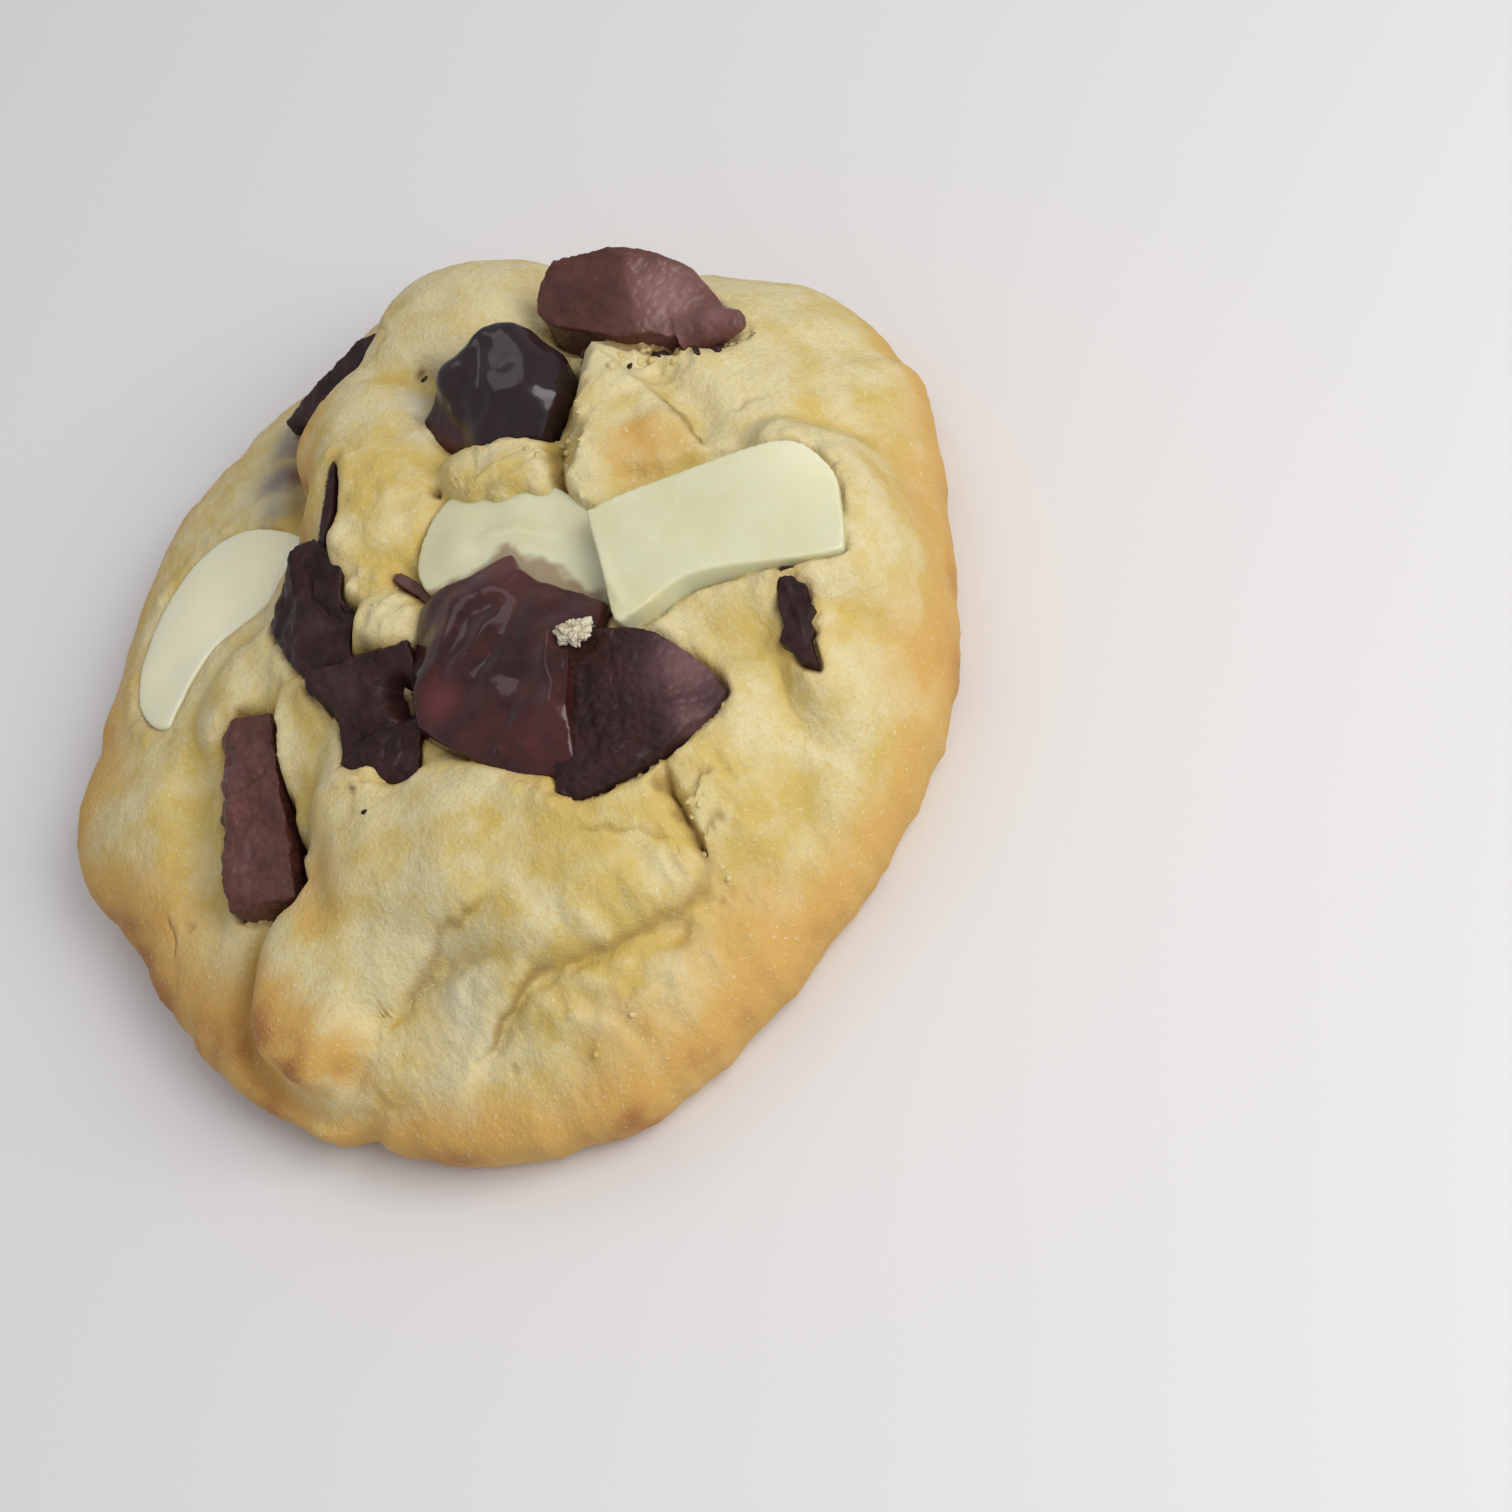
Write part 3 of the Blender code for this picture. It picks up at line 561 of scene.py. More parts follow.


# Chopped and melted chocolate: each piece starts from its solid or from an outline between two heights, gets
# knife cuts and pulled tongues, is remeshed evenly, and then its faces are roughened.
# voxel: size of the remeshed faces; smooth: how often the new mesh is smoothed
# outline, heights: corners in plan, and from and to height, of a piece that isn't made from its solid
# cuts: a place on the cut, and the way the cut face looks
# tongues: from, to, half width at each end, flatness
# rough: size, height, kind, and the way the roughened faces look (None for all)
# ridges: height (below 0 a furrow), half width, and its line in plan, on the upper faces only
# chips: x, y, z, radius, depth (below 0 a raised blob)
# blooms: x, y, z, radius, strength of a pale or reddish patch; the pale patches on the right faces of the top
# milk chunk and the middle dark chunk are painted sheen

chocolatePieces = {
    "milkChunkTop": {
        "node": "milk_chunk_top", "slot": "milk_chocolate", "look": "milk chocolate",
        "voxel": 0.17, "smooth": 1,
        "cuts": (
            ((25.2, 13.3, 21.6), (-0.44, -0.17, 0.88)),
            ((25.2, 13.3, 21.6), (0.06, -0.46, 0.886)),
            ((28.8, 11.4, 21.0), (0.55, -0.34, 0.76)),
            ((26.9, 17.1, 23.3), (0.53, 0.68, 0.50)),
            ((27.0, 16.2, 22.7), (0.46, 0.19, 0.87)),
        ),
        "tongues": (((27.4, 9.8, 17.6), (31.4, 6.9, 18.7), 2.6, 0.9, 0.9),),
        "rough": (
            (4.0, 0.14, "soft", None),
            (0.85, 0.07, "crackle", (0.25, -0.5, 0.83)),
            (0.9, 0.05, "soft", None),
        ),
        "chips": ((31.0, 9.6, 20.0, 1.1, 0.5), (24.4, 9.6, 19.6, 0.9, 0.35), (20.0, 17.6, 19.0, 0.9, 0.3)),
        # these pale patches are painted sheen on the chunk's right face
        "blooms": ((27.6, 11.8, 21.0, 2.8, 0.55), (25.6, 9.0, 19.4, 1.6, 0.4), (30.0, 8.4, 19.6, 1.6, 0.4)),
    },
    "milkChunkLeft": {
        "node": "milk_chunk_left", "slot": "milk_chocolate", "look": "milk chocolate",
        "voxel": 0.17, "smooth": 1,
        "heights": (6.6, 15.2),
        "outline": ((-22.7, 7.4), (-18.6, 4.4), (-20.4, -0.4), (-22.0, -5.0), (-24.6, -11.6),
            (-29.9, -8.4), (-26.6, -0.2)),
        "cuts": (((-24.5, -2.0, 14.3), (-0.10, -0.05, 0.99)), ((-27.2, -2.0, 13.6), (-0.55, 0.25, 0.80))),
        "rough": ((2.6, 0.24, "soft", None), (1.1, 0.09, "crackle", None), (0.8, 0.06, "soft", None)),
        "ridges": ((-0.35, 0.30, ((-27.0, 1.6), (-24.4, 0.4), (-21.4, 0.2))),
            (0.12, 0.35, ((-25.0, 3.0), (-27.0, -7.0)))),
        "chips": ((-29.4, -8.4, 13.8, 0.9, 0.35), (-22.6, 7.2, 14.2, 0.8, 0.3),
            (-26.6, 0.2, 14.0, 0.7, 0.25)),
        "blooms": ((-24.4, 1.4, 14.0, 1.6, 0.15), (-26.4, -5.4, 13.4, 1.2, 0.15)),
    },
    "darkChunkCentre": {
        "node": "dark_chunk_centre", "slot": "dark_chocolate", "look": "dark chocolate",
        "voxel": 0.16, "smooth": 1,
        "heights": (14.2, 22.6),
        "outline": (
            (3.6, -12.6), (6.5, -12.4), (9.2, -14.6), (11.0, -16.4), (12.3, -19.0),
            (12.9, -21.5), (12.9, -23.2), (11.2, -24.2), (6.6, -24.9), (3.7, -25.0),
            (1.0, -24.6), (-1.6, -24.0), (-2.2, -22.4), (1.3, -17.0),
        ),
        "cuts": (((5.0, -18.0, 21.2), (-0.036, -0.166, 0.985)), ((10.3, -17.0, 21.7), (0.30, -0.26, 0.92))),
        "rough": (
            (4.5, 0.12, "soft", None),
            (0.95, 0.10, "crackle", (0.42, -0.34, 0.84)),
            (0.8, 0.045, "soft", None),
        ),
        "ridges": ((-0.10, 0.3, ((5.2, -14.0), (3.4, -19.0), (0.8, -24.2))),
            (-0.08, 0.3, ((7.4, -15.0), (5.6, -19.6), (3.6, -24.0)))),
        "chips": ((5.4, -25.0, 20.2, 0.9, 0.4), (9.2, -24.8, 19.6, 0.8, 0.35), (-1.8, -23.6, 20.0, 0.7, 0.3)),
        # these pale patches are painted sheen on the chunk's right face
        "blooms": ((11.8, -20.0, 20.4, 2.9, 0.90), (9.4, -23.6, 19.6, 1.8, 0.70)),
    },
    "darkChunkLeft": {
        "node": "dark_chunk_left", "slot": "dark_chocolate", "look": "dark chocolate",
        "voxel": 0.17, "smooth": 2,
        "heights": (12.6, 20.8),
        "outline": (
            (-7.6, 12.6), (-9.4, 13.6), (-11.8, 12.8), (-14.7, 11.2), (-15.0, 6.2), (-14.2, 1.4),
            (-9.4, -0.6), (-10.2, 1.9), (-8.0, 4.1), (-8.2, 6.6), (-6.6, 8.7),
        ),
        "cuts": (
            ((-10.5, 7.0, 19.1), (-0.30, -0.04, 0.95)), ((-12.0, 2.6, 18.4), (-0.15, -0.45, 0.88)),
            ((-13.2, 8.0, 18.0), (-0.62, 0.16, 0.77)),
        ),
        "rough": ((3.2, 0.20, "soft", None), (2.4, 0.08, "crackle", None), (0.7, 0.04, "soft", None)),
        "ridges": ((-0.4, 0.4, ((-9.6, 11.4), (-10.6, 8.5), (-10.0, 5.5), (-9.0, 4.0))),),
        "chips": ((-8.0, 5.4, 19.6, 0.9, 0.5), (-13.6, 11.0, 18.2, 0.8, 0.3)),
        "blooms": ((-12.0, 6.0, 19.0, 2.0, 0.15),),
    },
    "darkChunkLowerLeft": {
        "node": "dark_chunk_lower_left", "slot": "dark_chocolate", "look": "dark chocolate",
        "voxel": 0.17, "smooth": 2,
        "heights": (12.6, 21.0),
        "outline": (
            (-13.7, 2.2), (-9.2, -0.3), (-5.6, -2.2), (-6.2, -5.4), (-7.6, -8.6), (-9.0, -9.8),
            (-10.9, -12.3), (-14.4, -10.2), (-15.5, -7.0), (-13.6, -3.3), (-14.6, 0.6),
        ),
        "cuts": (((-11.0, -4.0, 19.6), (-0.17, -0.05, 0.98)), ((-12.0, -8.0, 19.1), (-0.10, -0.34, 0.93))),
        "rough": ((3.2, 0.22, "soft", None), (1.5, 0.10, "crackle", None), (0.7, 0.05, "soft", None)),
        "ridges": (
            (-2.6, 0.8, ((-8.6, -3.4), (-8.4, -5.4), (-9.2, -8.0))),
            (-0.4, 0.4, ((-14.0, -5.8), (-11.8, -6.4), (-9.6, -7.4))),
        ),
        "blooms": ((-12.2, -1.4, 20.0, 1.8, 0.2),),
    },
    "darkChunkFar": {
        "node": "dark_chunk_far", "slot": "dark_chocolate", "look": "dark chocolate",
        "voxel": 0.20, "smooth": 2,
        "cuts": (((-3.6, 31.0, 12.0), (-0.80, -0.60, 0.0)),),
        "rough": ((3.0, 0.15, "soft", None), (0.9, 0.05, "soft", None)),
        "blooms": ((-3.4, 31.0, 14.0, 1.6, 0.5),),
    },
    "darkChunkGlossy": {
        "node": "dark_chunk_glossy", "slot": "melted_chocolate", "look": "glossy dark chocolate",
        "voxel": 0.18, "smooth": 90,
        "heights": (13.2, 23.8),
        "outline": (
            (4.8, 17.4), (8.6, 18.2), (12.0, 19.1), (15.0, 18.6), (17.2, 16.6), (17.9, 12.9),
            (16.0, 9.2), (12.3, 7.6), (8.4, 8.8), (6.3, 12.2), (4.8, 14.8),
        ),
        "cuts": (
            ((13.6, 14.5, 23.0), (0.10, -0.06, 0.99)), ((7.2, 15.4, 20.6), (-0.66, -0.10, 0.74)),
            ((11.5, 9.6, 21.2), (-0.14, -0.66, 0.74)), ((16.4, 13.0, 21.8), (0.60, -0.14, 0.78)),
            ((9.8, 18.4, 21.6), (-0.30, 0.76, 0.58)),
        ),
        "rough": ((5.0, 0.26, "soft", None), (2.0, 0.05, "soft", None)),
        "ridges": ((-0.30, 0.8, ((12.6, 18.6), (11.8, 15.6), (10.2, 12.6), (9.6, 10.4))),),
        "chips": ((9.4, 16.4, 21.4, 1.7, -1.0), (8.3, 14.4, 20.6, 0.9, -0.55), (14.4, 10.6, 21.0, 1.2, -0.3)),
        "blooms": ((5.4, 13.0, 18.2, 3.2, 0.9),),
    },
    "moltenChunk": {
        "node": "molten_chunk", "slot": "melted_chocolate", "look": "melted chocolate",
        "voxel": 0.18, "smooth": 12,
        "heights": (14.0, 23.2),
        "outline": (
            (-3.0, 0.2), (-5.9, -3.4), (-7.6, -7.2), (-8.5, -9.4), (-7.3, -12.6),
            (-5.8, -16.2), (-4.2, -19.6), (-2.9, -22.4), (-1.2, -22.8), (0.4, -21.0),
            (3.0, -17.2), (5.0, -13.6), (7.6, -13.0), (9.3, -11.2), (8.2, -8.6),
            (5.8, -5.9), (5.0, -3.6), (5.5, -0.8), (4.6, -0.9), (1.2, -1.2),
        ),
        "cuts": (
            ((0.0, -8.0, 22.4), (-0.05, 0.02, 1.0)), ((-5.0, -8.0, 21.6), (-0.42, -0.12, 0.90)),
            ((-3.0, -16.5, 21.3), (-0.34, -0.42, 0.84)), ((4.6, -3.6, 21.9), (0.12, 0.30, 0.94)),
            ((7.0, -10.5, 21.9), (0.30, 0.10, 0.95)), ((-2.4, -2.4, 21.4), (-0.40, 0.30, 0.87)),
        ),
        "rough": ((4.5, 0.20, "soft", None), (1.8, 0.04, "soft", None)),
        "ridges": (
            (-0.36, 1.15, ((2.6, -4.6), (-0.6, -5.6), (-3.4, -7.0), (-6.2, -9.8))),
            (-0.32, 1.00, ((1.0, -8.6), (-2.0, -9.6), (-4.6, -11.6))),
            (0.16, 0.90, ((2.2, -6.6), (-1.0, -7.4), (-4.4, -9.2))),
            (0.30, 1.20, ((6.8, -8.0), (4.0, -9.0), (2.6, -12.0))),
            (0.45, 0.80, ((5.4, -9.6), (3.0, -13.6), (1.4, -16.8), (-1.2, -21.0))),
            (-0.30, 1.20, ((1.6, -12.6), (-1.0, -14.6), (-3.4, -15.8))),
        ),
        "chips": ((-4.2, -16.8, 20.8, 0.5, -0.22), (-2.2, -18.0, 21.0, 0.4, -0.20)),
        "blooms": ((-6.0, -9.6, 20.8, 1.8, 0.75), (-1.0, -18.6, 21.0, 2.4, 0.35),
            (4.6, -2.0, 21.6, 2.2, 0.6)),
    },
}  # fmt: skip


def drawnBlock(name, corners, bottom, top):
    deselectAll()
    bpy.ops.mesh.primitive_circle_add(vertices=len(corners), radius=mm, fill_type="NGON")
    piece = bpy.context.active_object
    piece.name = piece.data.name = name
    writePoints(piece, np.column_stack([corners, np.full(len(corners), bottom)]))
    startEditing(piece, "FACE")
    bpy.ops.mesh.extrude_region_move(TRANSFORM_OT_translate={"value": (0, 0, (top - bottom) * mm)})
    bpy.ops.mesh.select_all(action="SELECT")
    bpy.ops.mesh.normals_make_consistent(inside=False)
    bpy.ops.object.mode_set(mode="OBJECT")
    return piece


def mergedCopy(nodeName, name):
    piece = bpy.data.objects.new(name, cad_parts[nodeName].data.copy())
    bpy.context.scene.collection.objects.link(piece)
    startEditing(piece)
    bpy.ops.mesh.remove_doubles(threshold=0.01 * mm)
    bpy.ops.object.mode_set(mode="OBJECT")
    return piece


def cutBlock(piece, cuts):
    startEditing(piece)
    for place, facing in cuts:
        bpy.ops.mesh.select_all(action="SELECT")
        bpy.ops.mesh.bisect(
            plane_co=[value * mm for value in place], plane_no=facing, use_fill=True, clear_outer=True
        )
    bpy.ops.object.mode_set(mode="OBJECT")


def addTongue(piece, start, end, startWidth, endWidth, flatness):
    # a tapered bar from one place to another, which the remesh then joins to the piece
    startEditing(piece, selection="DESELECT")
    start, end = Vector(start) * mm, Vector(end) * mm
    run = end - start
    middle = (start + end) / 2
    bpy.ops.mesh.primitive_cone_add(
        vertices=20, radius1=startWidth * mm, radius2=endWidth * mm, depth=run.length,
        location=middle, rotation=run.to_track_quat("Z", "Y").to_euler(),
    )  # fmt: skip
    bpy.ops.transform.resize(value=(1, 1, flatness), center_override=middle)
    bpy.ops.object.mode_set(mode="OBJECT")


def roughenPiece(piece, settings, seed):
    points, normals = readPoints(piece), readNormals(piece)
    moves = np.zeros(len(points))
    for size, height, kind, facing in settings["rough"]:
        share = 1.0
        if facing is not None:
            share = smoothStep(normals @ (np.array(facing) / np.linalg.norm(facing)), 0.65, 0.88)
        if kind == "crackle":
            values = crackleValues(points, size, seed)
        else:
            values = roughValues(points, size, seed, 2)
        moves += height * values * share
    wobble = 0.3 * roughValues(points, 2.2, seed + 3)
    wobbled = points[:, :2] + np.column_stack([wobble, -wobble])
    upper = smoothStep(normals[:, 2], 0.0, 0.4)
    for height, halfWidth, path in settings.get("ridges", ()):
        gap, along, _, _ = pathPlaces(wobbled, path)
        moves += height * upper * endTaper(along) * np.exp(-((gap / halfWidth) ** 2))
    for x, y, z, radius, depth in settings.get("chips", ()):
        away = np.linalg.norm(points - (x, y, z), axis=1)
        moves -= depth * np.exp(-((away / radius) ** 4))
    bloom = np.zeros(len(points))
    for x, y, z, radius, strength in settings["blooms"]:
        away = np.linalg.norm(points - (x, y, z), axis=1)
        bloom = np.maximum(bloom, strength * np.exp(-((away / radius) ** 2)))
    writePoints(piece, points + normals * moves[:, None])
    writeMask(piece, "bloom", bloom)


def makeChocolatePiece(name, settings, seed):
    if "outline" in settings:
        piece = drawnBlock(name, settings["outline"], *settings["heights"])
    else:
        piece = mergedCopy(settings["node"], name)
    cutBlock(piece, settings["cuts"])
    for tongue in settings.get("tongues", ()):
        addTongue(piece, *tongue)
    applyModifier(piece, "REMESH", mode="VOXEL", voxel_size=settings["voxel"] * mm, use_smooth_shade=True)
    if settings["smooth"]:
        applyModifier(piece, "SMOOTH", factor=0.5, iterations=settings["smooth"])
    roughenPiece(piece, settings, seed)
    return dressPiece(piece, chocolateMaterials[settings["look"]], settings["node"])


chocolates = {}
for seed, (name, settings) in enumerate(chocolatePieces.items()):
    chocolates[name] = makeChocolatePiece(name, settings, seed + 1)
print("stage: chopped and melted chocolate made,", len(chocolates), "pieces")


# Slabs and chips with a drawn outline, whose edges are melted or broken.
# loop: places on the smooth curve from one outline corner to the next, 0 for straight sides
# top: height at the middle, fall per mm along x and y, and how much the ends sag; lies: height over the dough
# that the whole slab follows instead; wave: size and height of its unevenness; bloom: x, y, radius, strength
# of a paler patch, which on the white slabs is painted light

slabs = {
    "whiteSlab": {
        "node": "white_slab", "slot": "white_chocolate", "look": "white chocolate",
        "voxel": 0.2, "smooth": 5,
        "thickness": 5.0, "top": (22.1, 0.11, -0.10, 0.006), "lies": None, "loop": 8,
        "outline": (
            (12.4, -4.0), (17.3, -4.9), (22.6, -6.1), (27.0, -7.2), (29.0, -9.0),
            (29.6, -12.6), (28.4, -15.8), (27.0, -18.4), (26.2, -18.9), (23.4, -17.8),
            (20.5, -16.3), (17.8, -15.0), (15.0, -14.1), (12.1, -14.2), (10.2, -14.2),
            (9.0, -13.6), (10.4, -9.4), (11.8, -4.6),
        ),
        # the paler right end is painted light, where the slab bends towards the lamp
        "bloom": (30.0, -9.0, 5.0, 0.7), "wave": (7.0, 0.22),
        "ridges": ((0.22, 0.5, ((11.3, -7.0), (10.4, -10.6), (10.2, -13.6))),),
    },
    "whiteChunkCentre": {
        "node": "white_chunk_centre", "slot": "white_chocolate", "look": "white chocolate",
        "voxel": 0.2, "smooth": 6,
        "thickness": 4.2, "top": (21.0, 0.02, -0.02, 0.012), "lies": None, "loop": 8,
        "outline": (
            (12.2, -2.6), (11.0, 2.6), (7.4, 6.6), (3.0, 7.6), (-0.6, 5.4), (-2.2, 1.6), (0.0, -4.0),
            (5.0, -8.4), (8.6, -10.6), (10.6, -7.6),
        ),
        "wave": (4.0, 0.20), "ridges": ((0.25, 0.8, ((3.4, 2.0), (6.4, 0.4), (9.6, -3.4))),),
    },
    "whiteSlabLeft": {
        "node": "white_slab_left", "slot": "white_chocolate", "look": "white chocolate",
        "voxel": 0.2, "smooth": 12,
        "thickness": 4.2, "top": None, "lies": 0.18, "loop": 8,
        "outline": (
            (-9.4, 17.4), (-12.0, 16.4), (-16.4, 16.0), (-20.0, 16.2), (-23.2, 15.0),
            (-25.6, 13.4), (-27.2, 12.4), (-28.4, 14.2), (-28.6, 17.6), (-26.8, 21.4),
            (-23.6, 24.4), (-19.6, 26.4), (-15.4, 26.6), (-11.8, 24.4), (-9.2, 20.4),
        ),
        # painted light over the whole left slab, which lies in less light
        "bloom": (-20.0, 18.0, 14.0, 1.0), "wave": (5.0, 0.20),
    },
    "darkSplinterRight": {
        "node": "dark_splinter_right", "slot": "dark_chocolate", "look": "dark chocolate",
        "voxel": 0.13, "smooth": 1,
        "thickness": 4.0, "top": (19.3, 0.02, -0.17, 0.0), "lies": None, "loop": 0,
        "outline": (
            (21.9, -17.0), (22.9, -17.9), (22.4, -18.9), (22.7, -19.7), (22.0, -20.6), (22.2, -21.5),
            (21.3, -22.2), (21.2, -23.1), (20.5, -23.6), (20.1, -24.7), (19.7, -25.8), (18.9, -24.9),
            (18.8, -23.4), (18.4, -22.2), (19.4, -21.5), (19.9, -19.9), (20.7, -18.4),
        ),
        "wave": (1.6, 0.22), "ridges": ((0.2, 0.3, ((21.4, -18.0), (21.1, -20.4), (20.0, -24.0))),),
    },
    "meltedSliver": {
        "node": None, "slot": "dark_chocolate", "look": "dark chocolate",
        "voxel": 0.12, "smooth": 2,
        "thickness": 1.2, "top": None, "lies": 0.10, "loop": 4,
        "outline": ((-2.7, 17.1), (-3.3, 17.0), (-5.8, 13.6), (-7.6, 12.0), (-9.0, 10.8), (-8.2, 10.2),
            (-6.9, 11.4), (-5.0, 13.0)),
        "wave": (1.2, 0.12),
    },
    "chocolateShard": {
        "node": None, "slot": "dark_chocolate", "look": "milk chocolate",
        "voxel": 0.10, "smooth": 1,
        "thickness": 1.4, "top": None, "lies": 0.22, "loop": 3,
        "outline": ((-3.9, 4.3), (-3.1, 4.5), (-2.3, 3.0), (-2.2, 1.4), (-1.9, 0.4), (-2.7, 0.2),
            (-3.0, 2.2)),
        "wave": (1.2, 0.12),
    },
}  # fmt: skip


def makeSlab(name, settings, seed):
    corners = np.array(settings["outline"], float)
    if settings["loop"]:
        corners = smoothLoop(corners, settings["loop"])
    piece = drawnBlock(name, corners, -settings["thickness"], 0)
    applyModifier(piece, "REMESH", mode="VOXEL", voxel_size=settings["voxel"] * mm, use_smooth_shade=True)
    applyModifier(piece, "SMOOTH", factor=0.5, iterations=settings["smooth"])
    points = readPoints(piece)
    xy = points[:, :2]
    away = xy - corners.mean(axis=0)
    if settings["lies"] is None:
        top, fallX, fallY, sag = settings["top"]
        points[:, 2] += top - fallX * away[:, 0] - fallY * away[:, 1] - sag * (away**2).sum(axis=1)
    else:
        points[:, 2] += plainTop(xy) + settings["lies"]
    size, height = settings["wave"]
    points[:, 2] += height * roughValues(flatPlaces(xy), size, seed)
    for height, halfWidth, path in settings.get("ridges", ()):
        gap, along, _, _ = pathPlaces(xy, path)
        points[:, 2] += height * endTaper(along) * np.exp(-((gap / halfWidth) ** 2))
    writePoints(piece, points)
    if "bloom" in settings:
        x, y, radius, strength = settings["bloom"]
        writeMask(piece, "bloom", strength * np.exp(-((np.hypot(xy[:, 0] - x, xy[:, 1] - y) / radius) ** 2)))
    return dressPiece(piece, chocolateMaterials[settings["look"]], settings["node"])


for seed, (name, settings) in enumerate(slabs.items()):
    chocolates[name] = makeSlab(name, settings, seed + 21)


def stainWhiteChunk(piece):
    # the brown film of melted chocolate that runs over the side nearest the molten chunk
    points = readPoints(piece)
    wobble = 0.35 * roughValues(points, 1.6, 71, 2)
    edge = ((-2.6, 1.2), (1.4, -0.6), (5.4, -0.4), (6.6, -2.6), (8.0, -6.0), (9.4, -9.6))
    gap, _, _, side = pathPlaces(points[:, :2] + wobble[:, None], edge)
    writeMask(piece, "film", smoothStep(-side * gap, -0.3, 0.5) * 0.85)


stainWhiteChunk(chocolates["whiteChunkCentre"])
print("stage: slabs and chips made")


# Dough surface

# Wide soft creases: depth, half width, line in plan
creases = {
    "lower crease": (0.7, 1.2, ((-19.6, -32.6), (-17.4, -31.8), (-14.6, -30.9), (-10.4, -30.7),
        (-2.0, -33.6), (3.6, -33.0))),
    "chunk crack": (1.0, 0.9, ((5.5, -25.6), (4.7, -28.0), (4.0, -31.4))),
    "lobe foot": (3.0, 1.3, ((-25.5, -9.5), (-29.7, -11.6), (-33.8, -14.6), (-35.3, -18.8), (-34.4, -23.6),
        (-31.6, -27.6), (-27.6, -29.6))),
    "notch": (1.0, 1.2, ((-32.0, -29.8), (-29.0, -29.4), (-25.0, -29.0))),
    "nub valley": (0.9, 0.8, ((-10.2, 5.0), (-8.4, 7.4), (-5.6, 7.6), (-3.0, 6.0), (-1.6, 3.0))),
    "peak right": (1.5, 1.8, ((21.8, 11.0), (23.2, 6.8), (23.8, 2.2), (23.8, -3.0))),
    "milk left valley": (1.7, 2.4, ((-25.4, 8.4), (-29.2, 3.0), (-31.8, -3.6), (-31.0, -8.8))),
    "far band": (1.2, 1.1, ((7.6, 32.4), (1.6, 31.0), (-3.4, 28.8), (-7.4, 24.6), (-9.4, 20.0))),
    "right hollow": (0.8, 2.2, ((31.2, -1.6), (31.4, -6.4), (30.6, -10.8))),
}  # fmt: skip

upperFoldEdge = (
    (-25.6, -25.6), (-22.8, -24.6), (-20.6, -24.3), (-18.6, -24.3),
    (-15.8, -24.2), (-13.0, -24.9), (-10.4, -25.6),
)  # fmt: skip
lowerFoldEdge = (
    (-22.4, -33.4), (-19.4, -32.0), (-17.0, -31.0), (-14.4, -30.3), (-12.2, -29.9),
    (-10.8, -30.1), (-9.2, -30.7), (-7.0, -31.4), (-4.5, -32.1), (-2.1, -32.5),
    (0.6, -32.7), (2.8, -32.4), (4.6, -31.5), (6.6, -29.8),
)  # fmt: skip

# Thin cracks: depth, half width, strength of the painted shade in the crack, line in plan
cracks = {
    "upper crease": (0.7, 0.24, 0.45, upperFoldEdge[1:]),
    "lower crease": (0.8, 0.26, 0.60, lowerFoldEdge[1:7]),
    "lower crease right": (0.5, 0.22, 0.35, lowerFoldEdge[6:]),
    "chunk crack": (1.8, 0.36, 0.70, ((5.7, -25.2), (5.2, -26.6), (5.3, -27.6), (4.8, -29.0), (4.5, -31.0),
        (4.1, -32.6))),
    "hairline": (0.35, 0.14, 0.35, ((-2.9, -25.9), (-1.0, -26.9), (0.8, -28.2), (2.4, -29.4), (3.6, -30.2))),
    "peak right": (0.9, 0.24, 0.60, ((21.8, 4.6), (22.0, 3.0), (22.3, 1.1), (22.5, -0.5), (22.6, -2.4))),
    "peak left": (2.0, 0.45, 0.60, ((13.4, 7.2), (12.5, 5.2), (11.9, 3.2), (11.2, 0.6), (11.6, -1.2))),
    "right creases": (0.30, 0.18, 0.25, ((25.9, 0.4), (26.8, -0.4), (27.9, 0.7), (29.2, -0.3))),
    "right thin crack": (0.35, 0.15, 0.40, ((28.8, -10.9), (29.5, -11.4), (30.4, -11.9))),
    "left curved crease": (0.45, 0.17, 0.40, ((-34.6, -2.9), (-35.2, -3.7), (-35.7, -5.2), (-36.4, -6.3))),
    "left slit": (1.0, 0.28, 0.80, ((-21.6, 7.0), (-20.4, 5.9), (-19.2, 4.9))),
    "plate one": (0.5, 0.18, 0.50, ((5.0, -27.4), (6.4, -28.0), (7.8, -27.3), (9.2, -27.8))),
    "plate two": (0.5, 0.18, 0.45, ((4.3, -29.8), (6.0, -30.4), (7.6, -29.8))),
}  # fmt: skip

# Narrow steep cavities: depth, half width, line in plan; each also gets painted shade along its line
cavities = {
    "beside left milk chunk": (3.4, 1.1, ((-20.9, -0.6), (-22.0, -4.4), (-22.9, -8.2), (-24.0, -11.2),
        (-27.0, -11.2))),
    "between dark chunks": (1.8, 0.55, ((-10.4, 1.4), (-9.0, 0.2), (-8.2, -1.6))),
    "nub gap": (1.6, 0.5, ((-8.2, 6.6), (-8.6, 4.2))),
    "below milk chunk top": (1.2, 0.7, ((19.6, 14.6), (22.4, 11.0), (26.0, 8.4), (29.8, 7.2))),
}

